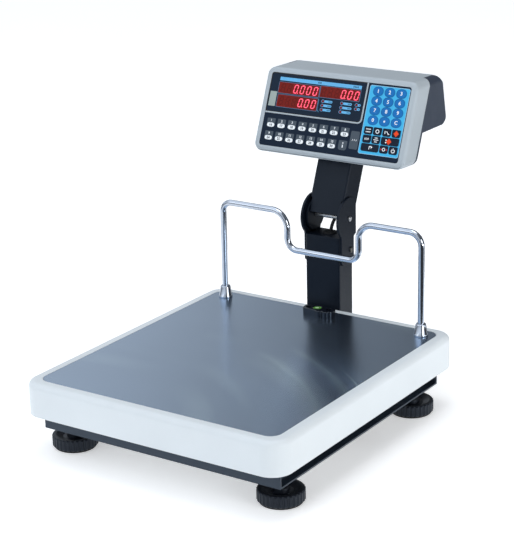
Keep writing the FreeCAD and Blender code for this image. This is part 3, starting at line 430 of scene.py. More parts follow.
def slot_finishes():
    """One finish for each material slot of the record."""
    c = colours()
    return {
        "pan_paint": powder_coat("pan_powder_coat", c.pan_paint, 0.38, peel=0.6),
        "stainless": brushed_steel("brushed_stainless", c.stainless),
        "chrome": chrome_plate("bright_chrome", c.chrome),
        "frame_paint": powder_coat("frame_powder_coat", c.frame_paint, 0.42),
        "mast_paint": powder_coat("mast_powder_coat", c.mast_paint, 0.42, specular=0.24),
        "zinc": zinc_plate("zinc_plating", c.zinc),
        "dark_steel": zinc_plate("blackened_steel", c.dark_steel, 0.42),
        "cell_aluminium": machined("milled_aluminium", c.aluminium),
        "foot_plastic": moulded("foot_nylon", c.foot_plastic, 0.42, 900.0, 0.05, 1.8),
        "black_rubber": rubber("black_rubber", c.rubber),
        "level_plastic": moulded("glossy_black_plastic", c.level_plastic, 0.2, 700.0, 0.01, 1.6),
        "vial_green": vial_liquid("vial_spirit", c.vial),
        "shell_grey": moulded("light_shell_plastic", c.shell_light, 0.34, 1500.0, 0.015, 1.04, 0.02),
        "shell_dark": moulded("dark_shell_plastic", c.shell_dark, 0.5, 1100.0, 0.05),
        "overlay_film": printed("navy_film", c.film),
        "red_lens": window("red_window", c.red_lens),
        "led_black": moulded("digit_block_plastic", c.level_plastic, 0.35),
        "circuit_board": solder_mask("green_board", c.board),
        "battery_case": moulded("battery_case_plastic", c.battery, 0.4),
        "cable_black": cable_sheath("cable_jacket", c.cable),
    }


# ---------------------------------------------------------------- flat shapes, in millimetres on a panel

def rounded(across, up, width, height, radius, steps=5):
    """Rectangle with round corners: one radius, or four from lower left anticlockwise."""
    radii = [radius] * 4 if isinstance(radius, (int, float)) else list(radius)
    corners = [(-1, -1, 180), (1, -1, 270), (1, 1, 0), (-1, 1, 90)]
    points = []
    for (side_x, side_y, start), r in zip(corners, radii):
        cx = across + side_x * (width / 2 - r)
        cy = up + side_y * (height / 2 - r)
        for k in range(steps + 1):
            angle = math.radians(start + 90 * k / steps)
            points.append((cx + r * math.cos(angle), cy + r * math.sin(angle)))
    return points


def between(left, right, low, high, radius, steps=5):
    """The same, from its four sides."""
    return rounded((left + right) / 2, (low + high) / 2, right - left, high - low, radius, steps)


def oval(across, up, width, height, steps=36, power=2.25):
    """Slightly squared ellipse."""
    points = []
    for k in range(steps):
        angle = 2 * math.pi * k / steps
        c, s = math.cos(angle), math.sin(angle)
        points.append((across + width / 2 * math.copysign(abs(c) ** (2 / power), c),
                       up + height / 2 * math.copysign(abs(s) ** (2 / power), s)))
    return points


def bar(x0, y0, x1, y1, width):
    """Pointed bar from one point to another, as in a digit segment."""
    run = Vector((x1 - x0, y1 - y0))
    along = run.normalized()
    side = Vector((-along.y, along.x)) * width / 2
    nose = along * width / 2
    start, end = Vector((x0, y0)), Vector((x1, y1))
    return [tuple(p) for p in (start, start + nose - side, end - nose - side, end, end - nose + side,
                               start + nose + side)]


def moved(points, across, up, slant=0.0):
    return [(x + across + slant * y, y + up) for x, y in points]


def arc_band(across, up, radius, width, start, end, steps=20):
    """Part of a ring, as a closed outline, between two angles in degrees."""
    def rim(r, angles):
        return [(across + r * math.cos(a), up + r * math.sin(a)) for a in angles]

    angles = [math.radians(start + (end - start) * k / steps) for k in range(steps + 1)]
    return rim(radius + width / 2, angles) + rim(radius - width / 2, reversed(angles))


def inward(points, distance):
    """The outline moved in by a distance, corner by corner."""
    count = len(points)
    result = []
    for k in range(count):
        before, here, after = (Vector(points[(k + d) % count]) for d in (-1, 0, 1))
        normals = []
        for first, second in ((before, here), (here, after)):
            run = second - first
            if run.length > 1e-9:
                normals.append(Vector((-run.y, run.x)).normalized())
        normal = sum(normals, Vector((0, 0)))
        normal = normal.normalized() if normal.length > 1e-9 else Vector((0, 0))
        result.append(tuple(here + normal * distance))
    return result


class Face:
    """A flat face of the head. Shapes on it are given in millimetres across, up and out from it."""

    def __init__(self, node, lean, outward, height, thickness, left_to_right):
        low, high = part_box(node)
        turn = Matrix.Rotation(lean, 3, "X")
        across = Vector((left_to_right, 0, 0))
        up = turn @ Vector((0, 0, 1))
        out = turn @ Vector((0, outward, 0))
        origin = (low + high) / 2 - up * height / 2 + out * thickness / 2
        basis = Matrix((across, up, out)).transposed().to_4x4()
        self.matrix = Matrix.Translation(origin) @ basis @ Matrix.Scale(MM, 4)


KEY_FILM_HEIGHT, KEY_FILM_THICKNESS = 118.7, 0.8
REAR_WINDOW_HEIGHT, REAR_WINDOW_THICKNESS = 34.0, 1.5
HEAD_LEAN = math.radians(-22.2)
REAR_LEAN = math.radians(11.7)


def operator_face():
    return Face("keypad_overlay", HEAD_LEAN, -1, KEY_FILM_HEIGHT * MM, KEY_FILM_THICKNESS * MM, 1)


def customer_face():
    return Face("customer_window", REAR_LEAN, 1, REAR_WINDOW_HEIGHT * MM, REAR_WINDOW_THICKNESS * MM, -1)


# Heights over the film, in millimetres: low, high and eased edge of a shape.
FILM = (0.0, 0.14, 0.05)
INK = (0.08, 0.16, 0.02)
SYMBOL = (0.4, 0.5, 0.01)


class Pieces:
    """Raised shapes on one face, gathered into a single mesh."""

    def __init__(self, face):
        self.face = face
        self.mesh = bmesh.new()

    def ring(self, points, height):
        return [self.mesh.verts.new((x, y, height)) for x, y in points]

    def skin(self, lower, upper):
        count = len(lower)
        for k in range(count):
            j = (k + 1) % count
            self.mesh.faces.new((lower[k], lower[j], upper[j], upper[k]))

    def closed(self, rings):
        """A closed skin from the first ring to the last one."""
        self.mesh.faces.new(list(reversed(rings[0])))
        for lower, upper in zip(rings, rings[1:]):
            self.skin(lower, upper)
        self.mesh.faces.new(rings[-1])
        return self

    def plate(self, points, low, high, ease=0.06):
        """A flat slab with a small eased edge."""
        return self.closed([self.ring(points, low), self.ring(points, high - ease),
                            self.ring(inward(points, ease), high)])

    def plates(self, outlines, low, high, ease=0.06):
        for points in outlines:
            self.plate(points, low, high, ease)
        return self

    def dome(self, points, low, high, crown, steps=5):
        """A slab whose top swells to a crown, as an embossed key."""
        middle = sum((Vector(p) for p in points), Vector((0, 0))) / len(points)
        rings = [self.ring(points, low), self.ring(points, high)]
        for k in range(1, steps):
            share = k / steps
            shrunk = [tuple(middle + (Vector(p) - middle) * (1 - 0.85 * share)) for p in points]
            rings.append(self.ring(shrunk, high + crown * math.sin(share * math.pi / 2)))
        return self.closed(rings)

    def band(self, points, width, low, high):
        """A closed line of a width, just inside an outline."""
        inner = inward(points, width)
        rings = [self.ring(points, low), self.ring(points, high),
                 self.ring(inner, high), self.ring(inner, low)]
        for lower, upper in zip(rings, rings[1:] + rings[:1]):
            self.skin(lower, upper)
        return self

    def text(self, words, across, up, size, low, high):
        """Figures centred on a point."""
        curve = bpy.data.curves.new("figures", "FONT")
        curve.body, curve.size = words, size
        curve.align_x, curve.align_y = "CENTER", "CENTER"
        curve.extrude = (high - low) / 2
        curve.offset = 0.022 * size
        curve.resolution_u = 3
        mesh = meshed(curve)
        mesh.transform(Matrix.Translation((across, up, (low + high) / 2)))
        self.mesh.from_mesh(mesh)
        bpy.data.meshes.remove(mesh)
        return self

    def finish(self, name, material, slot="overlay_film", body="head"):
        self.mesh.transform(self.face.matrix)
        return finished(name, self.mesh, material, body)


def meshed(curve):
    """The mesh of a curve or text, which is cleared away."""
    maker = bpy.data.objects.new(curve.name, curve)
    bpy.context.scene.collection.objects.link(maker)
    bpy.context.view_layer.update()
    mesh = bpy.data.meshes.new_from_object(maker.evaluated_get(bpy.context.evaluated_depsgraph_get()))
    bpy.data.objects.remove(maker)
    bpy.data.curves.remove(curve)
    return mesh


def shown(mesh, name, material):
    """Turns a bmesh into an object of one material in the scene."""
    data = bpy.data.meshes.new(name)
    mesh.to_mesh(data)
    mesh.free()
    data.materials.append(material)
    item = bpy.data.objects.new(name, data)
    bpy.context.scene.collection.objects.link(item)
    return item


def finished(name, mesh, material, body, smooth_angle=35.0):
    """Turns a bmesh in the row frame into a named piece that rides on a body."""
    bmesh.ops.recalc_face_normals(mesh, faces=mesh.faces)
    piece = shown(mesh, name, material)
    piece.data.shade_smooth()
    piece.data.set_sharp_from_angle(angle=math.radians(smooth_angle))
    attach(piece, body)
    return piece


def spun(outline, centre, steps=48, mesh=None):
    """A turned solid about a vertical axis, from (radius, height) points in metres, as a bmesh."""
    mesh = bmesh.new() if mesh is None else mesh
    turns = [2 * math.pi * k / steps for k in range(steps)]
    rings = []
    for radius, height in outline:
        angles = turns if radius > 1e-7 else turns[:1]
        places = [(centre[0] + radius * math.cos(a), centre[1] + radius * math.sin(a), height)
                  for a in angles]
        rings.append([mesh.verts.new(place) for place in places])
    for lower, upper in zip(rings, rings[1:]):
        for k in range(steps):
            j = (k + 1) % steps
            corners = [lower[k % len(lower)], lower[j % len(lower)],
                       upper[j % len(upper)], upper[k % len(upper)]]
            mesh.faces.new([v for n, v in enumerate(corners) if v not in corners[:n]])
    return mesh


# ---------------------------------------------------------------- digits

ZERO = "abcdef"
SLANT = math.tan(math.radians(9))
SEGMENT_GAP = 0.28
LIT_HEIGHT, UNLIT_HEIGHT = 0.12, 0.05
POINT_SIZE = 1.7


def segments(width, height, thick):
    """The seven bars of a digit about its middle, by their usual letters."""
    x, y, gap = width / 2 - thick / 2, height / 2 - thick / 2, SEGMENT_GAP
    ends = {"a": (-x + gap, y, x - gap, y), "g": (-x + gap, 0, x - gap, 0), "d": (-x + gap, -y, x - gap, -y),
            "f": (-x, gap, -x, y - gap), "b": (x, gap, x, y - gap), "e": (-x, -y + gap, -x, -gap),
            "c": (x, -y + gap, x, -gap)}
    return {letter: bar(*place, thick) for letter, place in ends.items()}


def digit_row(lit, unlit, last, up, figures, places, pitch, width, height, thick, floor):
    """Writes zeros and points into the last places of a row, with every other bar unlit."""
    zeros = figures.replace(".", "")
    for place in range(places):
        across = last - pitch * place
        on = place < len(zeros)
        for letter, points in segments(width, height, thick).items():
            target, top = (lit, LIT_HEIGHT) if on and letter in ZERO else (unlit, UNLIT_HEIGHT)
            target.plate(moved(points, across, up, SLANT), floor, floor + top, 0.02)
        point_at = (across + width / 2 + 1.2 - SLANT * height / 2, up - height / 2 + 0.85)
        marked = on and place == len(zeros) - 1 - (figures.index(".") - 1)
        target, top = (lit, LIT_HEIGHT) if marked else (unlit, UNLIT_HEIGHT)
        target.plate(oval(*point_at, POINT_SIZE, POINT_SIZE, 14, 2.0), floor, floor + top, 0.02)


# ---------------------------------------------------------------- operators

class BENCHSCALE_OT_finishes(bpy.types.Operator):
    """Give every CAD part the finish of its material slot"""
    bl_idname = "bench_scale.finishes"
    bl_label = "Part finishes"

    def execute(self, context):
        finishes = slot_finishes()
        for part in frame["record"]["subparts"]:
            node = frame["nodes"][part["node"]]
            node.data.materials.clear()
            node.data.materials.append(finishes[part["material_slot"]])
        return {"FINISHED"}


class BENCHSCALE_OT_display(bpy.types.Operator):
    """Lay the display glass, its ridge, windows, outlines, label and lamps on the key panel"""
    bl_idname = "bench_scale.display"
    bl_label = "Operator display"

    # Left, right, low and high side of each window, then its last digit's place and its figures.
    windows = [(-110.5, -34.2, 86.3, 104.3, -41.4, 95.2, "0.000"),
               (-32.6, 40.2, 87.3, 105.3, 34.4, 95.8, "0.00"),
               (-109.3, -33.6, 64.2, 84.2, -40.9, 74.2, "0.00")]
    # Each lamp's middle and the length of the pill at its right.
    lamps = [(-24.4, 81.2, 14.5), (-24.4, 74.4, 14.0), (-24.4, 67.6, 14.0), (10.2, 81.4, 15.5),
             (10.2, 74.6, 16.0), (10.2, 67.8, 16.0), (37.0, 81.6, 4.5), (37.0, 75.0, 4.5)]
    glass_sides = (-126.2, 49.0, 55.6, 118.2)
    ridge_sides = (-127.2, 50.6, 53.9, 118.5)
    ridge_corner, ridge_height = 6.5, 1.1
    heading_sides, label_sides = (-110.6, 40.6, 106.7, 112.4), (-124.3, -111.8, 64.2, 88.0)
    heading_ticks = (-38.5, -36.2, -34.0, 26.5, 29.0, 31.5, 34.0)
    places = 6

    def glass(self, face):
        c = colours()
        left, right, low, high = self.glass_sides
        sheet = Pieces(face).plate(between(left, right, low, high, [4, 6, 4, 4]), 0.0, 0.1, 0.04)
        sheet.finish("display_glass", window("navy_window", c.glass, 0.14))
        # Painted shadow: a black band round the glass stands in for the shaded inner walls of the recessed
        # window.
        rim = between(left - 1.2, right + 1.1, low - 0.9, high + 0.5, [4.5, 7, 4, 4])
        recess_shade = Pieces(face).band(rim, 1.5, 0.0, 0.3)
        recess_shade.finish("display_recess_shade", rubber("recess_shade_black", c.rubber), "black_rubber")

    def ridge(self, face):
        """A rounded rib of the housing that runs under the display and up its right side."""
        width = sizes().ridge_width / MM
        left, right, low, high = self.ridge_sides
        corner = self.ridge_corner
        path = [(left, low), (right - corner, low)]
        path += [(right - corner + corner * math.sin(a), low + corner - corner * math.cos(a))
                 for a in (math.radians(90 * k / 10) for k in range(1, 10))]
        path += [(right, low + corner), (right, high)]
        profile = [(math.cos(a), math.sin(a)) for a in (math.pi * k / 8 for k in range(9))]
        rib = Pieces(face)
        rows = []
        for k, point in enumerate(path):
            before, after = Vector(path[max(k - 1, 0)]), Vector(path[min(k + 1, len(path) - 1)])
            along = (after - before).normalized()
            side = Vector((along.y, -along.x)) * width / 2
            places = [(point[0] + side.x * x, point[1] + side.y * x, y * self.ridge_height)
                      for x, y in profile]
            rows.append([rib.mesh.verts.new(place) for place in places])
        rib.closed(rows).finish("display_ridge", bpy.data.materials["light_shell_plastic"], "shell_grey")

    def lamp(self, across, up, long, lenses, ink, marks):
        lenses.dome(oval(across, up, 4.6, 4.4, 20, 2.0), 0.08, 0.2, 0.25, 4)
        ink.band(oval(across, up, 5.6, 5.3, 24, 2.0), 0.45, 0.08, 0.2)
        start = across + 2.9
        ink.plate(between(start, start + long, up - 1.95, up + 1.95, [0.4, 1.9, 1.9, 0.4]), 0.08, 0.17, 0.02)
        for k in range(1 if long < 6 else 3):
            tick = start + long - 2.2 - 2.0 * k
            marks.plate(between(tick - 0.65, tick + 0.65, up - 0.8, up + 0.8, 0.2), 0.16, 0.2, 0.01)

    def execute(self, context):
        c, s, face = colours(), sizes(), operator_face()
        self.glass(face)
        self.ridge(face)
        ink, lenses, lit, unlit, lines, marks, foil = (Pieces(face) for _ in range(7))
        ink.plate(between(*self.heading_sides, 0.6), *INK)
        digit = (s.digit_pitch / MM, s.digit_width / MM, s.digit_height / MM, s.segment / MM)
        for left, right, low, high, last, up, figures in self.windows:
            lenses.plate(between(left, right, low, high, 0.5), 0.08, 0.2, 0.04)
            lines.band(between(left - 0.55, right + 0.55, low - 0.55, high + 0.55, 0.8), 0.55, 0.08, 0.17)
            digit_row(lit, unlit, last, up, figures, self.places, *digit, 0.18)
        for place in self.lamps:
            self.lamp(*place, lenses, ink, marks)
        for tick in self.heading_ticks:
            marks.plate(between(tick - 0.7, tick + 0.7, 108.3, 110.9, 0.2), 0.15, 0.19, 0.01)
        lines.plates([between(-32.6, -31.9, 64.5, 84.5, 0.2), bar(-32.0, 66.5, -28.6, 63.0, 0.8)], *INK)
        foil.plate(between(*self.label_sides, 0.6), 0.08, 0.16, 0.03)
        ink.finish("display_print", printed("pale_blue_ink", c.pale_blue))
        lines.finish("display_lines", printed("line_ink", tuple(0.5 * x for x in c.pale_blue)))
        marks.finish("display_marks", printed("dark_ink", c.glass))
        lenses.finish("digit_lenses", bpy.data.materials["red_window"], "red_lens")
        lit.finish("lit_segments", glowing("lit_diode", c.lit, 1.0), "red_lens")
        unlit.finish("unlit_segments", window("unlit_diode", c.unlit), "red_lens")
        foil.finish("blank_label", printed("label_foil", c.label, 0.3))
        return {"FINISHED"}


class BENCHSCALE_OT_preset_keys(bpy.types.Operator):
    """Make the two rows of numbered preset keys and the two grey keys beside them"""
    bl_idname = "bench_scale.preset_keys"
    bl_label = "Preset keys"

    rows = [(37.4, 8), (16.5, 7)]
    first_key = -112.3
    second_numbers = 15
    pill_width, pill_height = 13.6, 6.9

    def execute(self, context):
        c, face = colours(), operator_face()
        pitch = sizes().preset_pitch / MM
        tabs, pills, pale, dark = (Pieces(face) for _ in range(4))
        keys = [(self.first_key + pitch * k, up) for up, count in self.rows for k in range(count)]
        for number, (x, up) in enumerate(keys, 1):
            tabs.plate(between(x - 7.6, x + 7.6, up - 3.0, up + 7.2, [2.5, 2.5, 0.8, 0.8]), *FILM)
            pills.dome(oval(x, up - 3.6, self.pill_width, self.pill_height, 36, 2.9), 0.02, 0.22, 0.3, 5)
            pale.text(str(number), x, up + 3.6, 5.2, 0.12, 0.2)
            dark.text(str(number + self.second_numbers), x, up - 3.7, 5.6, 0.42, 0.56)
        grey_keys = [rounded(25.8, 16.3, 15.2, 15.4, [4.5, 4.5, 1.4, 1.4]),
                     rounded(45.0, 26.7, 15.6, 28.5, 2.0)]
        letter = [between(25.0, 26.8, 12.6, 17.4, 0.3), oval(25.9, 20.0, 2.1, 2.1, 16, 2.0)]
        strokes = [bar(45.0 + x, 25.2, 46.4 + x, 28.2, 0.8) for x in (-4.0, -0.6, 2.8)]
        tabs.plates(grey_keys, 0.0, 0.18, 0.06)
        pale.plates(letter + strokes, 0.16, 0.24, 0.02)
        tabs.finish("preset_tabs", printed("slate_ink", c.tab))
        pills.finish("preset_pills", printed("white_ink", c.white, 0.3, 0.97))
        pale.finish("preset_tab_figures", printed("pale_figure_ink", c.white, 0.4, 0.9))
        dark.finish("preset_pill_figures", printed("navy_figure_ink", c.film))
        return {"FINISHED"}


class BENCHSCALE_OT_number_keys(bpy.types.Operator):
    """Make the light blue pad with its twelve oval keys"""
    bl_idname = "bench_scale.number_keys"
    bl_label = "Number keys"

    columns, lines = (71.0, 91.5, 112.0), (106.9, 91.8, 76.6, 61.3)
    pad_sides, rim_sides = (55.6, 125.9, 8.0, 115.6), (55.2, 126.3, 7.6, 116.0)
    figures = "1234567890.C"

    def execute(self, context):
        c, s, face = colours(), sizes(), operator_face()
        width, height = s.number_key_width / MM, s.number_key_height / MM
        pad, rim, keys, rings, marks = (Pieces(face) for _ in range(5))
        pad.plate(between(*self.pad_sides, 3), 0.0, 0.1, 0.03)
        rim.band(between(*self.rim_sides, 3.2), 0.7, 0.0, 0.14)
        for index, figure in enumerate(self.figures):
            across, up = self.columns[index % 3], self.lines[index // 3]
            keys.dome(oval(across, up, width, height), 0.05, 0.2, 0.45, 6)
            rings.band(oval(across, up, width + 0.5, height + 0.5), 0.75, 0.05, 0.28)
            if figure == ".":
                marks.plate(oval(across, up, 3.2, 3.2, 18, 2.0), 0.5, 0.68, 0.02)
            else:
                marks.text(figure, across, up, 8.0, 0.5, 0.68)
        pad.finish("number_pad", printed("sky_ink", c.pad, 0.4))
        rim.finish("number_pad_rim", printed("frost_ink", tuple(0.3 + 0.6 * x for x in c.pad)))
        keys.finish("number_keys", printed("number_key_ink", c.number_key, 0.32))
        rings.finish("number_key_rings", printed("key_ring_ink", tuple(0.62 * x for x in c.number_key)))
        marks.finish("number_key_figures", printed("figure_ink", c.white, 0.35, 0.97))
        return {"FINISHED"}


class BENCHSCALE_OT_function_keys(bpy.types.Operator):
    """Make the dark function keys under the numbers, with plain symbols"""
    bl_idname = "bench_scale.function_keys"
    bl_label = "Function keys"

    lines = (44.8, 31.5, 18.3)
    # Each key's middle, line and width.
    keys = [(66.6, 0, 14.6), (82.8, 0, 14.6), (99.4, 0, 14.6), (115.9, 0, 14.6), (66.6, 1, 14.6),
            (82.8, 1, 14.6), (107.6, 1, 31.2), (74.6, 2, 31.2), (99.4, 2, 14.6), (115.9, 2, 14.6)]
    key_height = 11.8
    diamonds = [(115.9, 44.8), (105.6, 31.5)]
    zero_key = (99.4, 18.3)

    def symbols(self):
        """Outlines of the white symbols, key by key."""
        dots = [between(62.4 + 2.2 * k, 64.0 + 2.2 * k, up - 0.8, up + 0.8, 0.2)
                for up in (46.9, 42.7) for k in range(4)]
        steps = [bar(96.3, 42.3, 96.3, 47.3, 1.2), bar(98.5, 47.2, 102.4, 42.4, 1.2),
                 [(101.0, 42.0), (104.0, 42.0), (104.0, 43.6)]]
        strokes = [bar(62.6 + 2.1 * k, 29.7, 63.7 + 2.1 * k, 33.3, 0.8) for k in range(4)]
        stack = [between(82.8 - half, 82.8 + half, up - 0.6, up + 0.6, 0.3)
                 for up, half in ((34.6, 2.4), (31.5, 4.4), (28.4, 2.4))]
        colon = [between(99.6, 101.8, up - 1.0, up + 1.0, 0.3) for up in (33.4, 29.6)]
        arrow = [bar(73.6, 15.4, 73.6, 20.6, 1.2), bar(73.2, 20.4, 78.0, 20.4, 1.2),
                 [(76.6, 16.8), (79.6, 20.0), (76.6, 20.0)]]
        power = [arc_band(115.9, 17.8, 2.7, 1.1, 125, 415), between(115.35, 116.45, 18.2, 22.2, 0.3)]
        return dots + steps + strokes + stack + colon + arrow + power

    def execute(self, context):
        c, face = colours(), operator_face()
        keys, rims, marks, diamonds, arrows = (Pieces(face) for _ in range(5))
        for across, line, width in self.keys:
            up, high = self.lines[line], self.key_height
            keys.dome(rounded(across, up, width, high, [3.0, 3.0, 1.6, 1.6]), 0.05, 0.2, 0.2, 5)
            rims.band(rounded(across, up, width + 0.6, high + 0.6, [3.3, 3.3, 1.9, 1.9]), 0.6, 0.05, 0.24)
        marks.plates(self.symbols(), *SYMBOL)
        marks.band(oval(82.8, 44.8, 6.6, 6.6, 24, 2.0), 1.2, *SYMBOL[:2])
        marks.band(oval(*self.zero_key, 5.6, 5.6, 24, 2.0), 1.1, *SYMBOL[:2])
        for x, y in self.diamonds:
            diamonds.plate([(x - 4.7, y), (x, y - 5.0), (x + 4.7, y), (x, y + 5.0)], 0.38, 0.48, 0.02)
        x, y = self.zero_key
        arrows.plates([[(x - 6.0, y + 1.6), (x - 6.0, y - 1.6), (x - 3.2, y)],
                       [(x + 3.2, y), (x + 6.0, y - 1.6), (x + 6.0, y + 1.6)]], *SYMBOL)
        keys.finish("function_keys", printed("night_ink", tuple(0.8 * x for x in c.film), 0.34))
        rims.finish("function_key_rims", printed("night_rim_ink", tuple(1.5 * x for x in c.film)))
        marks.finish("function_key_marks", bpy.data.materials["figure_ink"])
        diamonds.finish("orange_diamonds", printed("orange_ink", c.orange))
        arrows.finish("red_arrows", printed("red_ink", c.red))
        return {"FINISHED"}


class BENCHSCALE_OT_customer_display(bpy.types.Operator):
    """Put three rows of zeros behind the customer's window"""
    bl_idname = "bench_scale.customer_display"
    bl_label = "Customer display"

    rows = [(-38.0, "0.000"), (19.5, "0.00"), (77.0, "0.00")]
    # Pitch, width, height and thickness of a digit.
    digit = (10.4, 6.8, 12.6, 1.5)
    places, middle = 5, 17.0
    dividers = (-28.9, 28.6)
    border = (-86.0, 86.0, 2.0, 32.0)

    def execute(self, context):
        face = customer_face()
        lit, unlit, lines = Pieces(face), Pieces(face), Pieces(face)
        for last, figures in self.rows:
            digit_row(lit, unlit, last, self.middle, figures, self.places, *self.digit, 0.01)
        for x in self.dividers:
            lines.plate(between(x - 0.3, x + 0.3, 4.0, 30.0, 0.1), 0.0, 0.08, 0.01)
        lines.band(between(*self.border, 2.0), 0.6, 0.0, 0.08)
        lit.finish("customer_lit_segments", bpy.data.materials["lit_diode"], "red_lens")
        unlit.finish("customer_unlit_segments", bpy.data.materials["unlit_diode"], "red_lens")
        lines.finish("customer_print", bpy.data.materials["pale_blue_ink"])
        return {"FINISHED"}


class BENCHSCALE_OT_level(bpy.types.Operator):
    """Finish the round level: a collar, a bubble and a reading ring"""
    bl_idname = "bench_scale.level"
    bl_label = "Level"

    # Turned outlines: radius as a share of the vial's, height over its top in millimetres.
    ring = [(0.42, -0.1), (0.42, 0.12), (0.5, 0.12), (0.5, -0.1)]
    bubble = [(0.0, -0.05), (0.3, -0.05), (0.36, 0.1), (0.3, 0.26), (0.15, 0.36), (0.0, 0.4)]
    collar = [(1.0, -0.4), (1.0, 0.5), (0.9, 0.7), (0.84, 0.45), (0.84, -0.2)]

    def execute(self, context):
        low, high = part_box("level_vial")
        x, y, radius = (low.x + high.x) / 2, (low.y + high.y) / 2, (high.x - low.x) / 2

        def turned(outline, centre):
            return spun([(share * radius, high.z + height * MM) for share, height in outline], centre)

        pale = tuple(min(1.0, 0.35 + channel) for channel in colours().vial)
        materials = bpy.data.materials
        finished("level_reading_ring", turned(self.ring, (x, y)), materials["black_rubber"],
                 "pan")
        finished("level_bubble", turned(self.bubble, (x - 0.12 * radius, y + 0.1 * radius)),
                 vial_liquid("vial_bubble", pale), "pan", 60.0)
        finished("level_collar", turned(self.collar, (x, y)), materials["glossy_black_plastic"],
                 "pan")
        return {"FINISHED"}


class BENCHSCALE_OT_sockets(bpy.types.Operator):
    """Turn the two plated sockets of the goods rail, with a smooth taper and a rolled foot"""
    bl_idname = "bench_scale.sockets"
    bl_label = "Rail sockets"

    # Radius and height, each as a share of the socket's own.
    bore = 0.46
    outline = [(bore, 0.0), (0.96, 0.0), (1.0, 0.03), (1.0, 0.12), (0.965, 0.17), (0.93, 0.2), (0.75, 0.93),
               (0.72, 0.97), (0.66, 1.0), (bore, 1.0)]

    def execute(self, context):
        low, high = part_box("rail_sockets")
        radius, tall = (high.y - low.y) / 2, high.z - low.z
        outline = [(radius * across, low.z + tall * up) for across, up in self.outline]
        both = bmesh.new()
        for x in (low.x + radius, high.x - radius):
            spun(outline, (x, (low.y + high.y) / 2), 64, both)
        piece = finished("turned_sockets", both, bpy.data.materials["bright_chrome"], "pan", 50.0)
        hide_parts("rail_sockets")
        return {"FINISHED"}


class BENCHSCALE_OT_studs(bpy.types.Operator):
    """Cut a real thread on the four foot studs"""
    bl_idname = "bench_scale.studs"
    bl_label = "Threaded studs"

    thread_depth = 0.6
    around, rings_a_turn = 24, 6

    def stud(self, foot):
        low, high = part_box(f"foot_stud_{foot}")
        cx, cy, radius = (low.x + high.x) / 2, (low.y + high.y) / 2, (high.x - low.x) / 2
        pitch, depth, around = sizes().thread_pitch, self.thread_depth * MM, self.around
        count = int((high.z - low.z) / pitch * self.rings_a_turn)
        stud = Pieces(None)
        rings = []
        for level in range(count + 1):
            z = low.z + (high.z - low.z) * level / count
            ease = min(1.0, (count - level) / 6, level / 2 + 0.4)
            ring = []
            for k in range(around):
                angle = 2 * math.pi * k / around
                phase = ((z - low.z) / pitch - k / around) % 1.0
                cut = 1 - abs(2 * phase - 1) if ease >= 1.0 else 1.2 - 0.2 * ease
                r = radius - depth * cut
                ring.append(stud.mesh.verts.new((cx + r * math.cos(angle), cy + r * math.sin(angle), z)))
            rings.append(ring)
        piece = finished(f"threaded_stud_{foot}", stud.closed(rings).mesh, bpy.data.materials["zinc_plating"],
                         f"foot_screw_{foot}", 60.0)
        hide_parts(f"foot_stud_{foot}")

    def execute(self, context):
        for foot in range(1, 5):
            self.stud(foot)
        return {"FINISHED"}


class BENCHSCALE_OT_cable(bpy.types.Operator):
    """Run the signal cable from the load cell through the mast and the open knuckle into the head"""
    bl_idname = "bench_scale.cable"
    bl_label = "Signal cable"

    flex = 26.0

    def route(self):
        """Points from the cell's end, under the pan, up the mast, out of its grommet and up the neck."""
        cell, mast, grommet = ((low + high) / 2 / MM for low, high in
                               (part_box(name) for name in ("load_cell", "mast_tube", "cable_grommet")))
        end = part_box("load_cell")[1].y / MM
        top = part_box("signal_cable")[1].z / MM
        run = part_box("mast_tube")[0].z / MM + 7.3
        return [(0.0, end, cell.z), (0.0, end + 30, cell.z), (0.4 * mast.x, end + 75, run),
                (mast.x, end + 121, run), (mast.x, mast.y + 1, run), (mast.x, mast.y + 1, run + 70),
                (grommet.x, grommet.y, 190.0), (grommet.x, grommet.y, grommet.z + 9),
                (grommet.x + 7.8, grommet.y + 13.3, grommet.z + 31), (-16.0, grommet.y + 34, 318.0),
                (grommet.x, grommet.y + 60, top - 40), (grommet.x, grommet.y + 62, top)]

    def execute(self, context):
        route = self.route()
        curve = bpy.data.curves.new("signal_lead", "CURVE")
        curve.dimensions = "3D"
        spline = curve.splines.new("NURBS")
        spline.points.add(len(route) - 1)
        for point, place in zip(spline.points, route):
            point.co = (*(value * MM for value in place), 1.0)
        spline.order_u = 3
        spline.use_endpoint_u = True
        spline.resolution_u = 16
        curve.bevel_depth = sizes().cable_diameter / 2
        curve.bevel_resolution = 5
        curve.use_fill_caps = True
        mesh = meshed(curve)
        cable = bpy.data.objects.new("signal_lead", mesh)
        bpy.context.scene.collection.objects.link(cable)
        mesh.materials.clear()
        mesh.materials.append(bpy.data.materials["cable_jacket"])
        mesh.shade_smooth()
        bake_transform(cable)
        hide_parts("signal_cable")
        return {"FINISHED"}


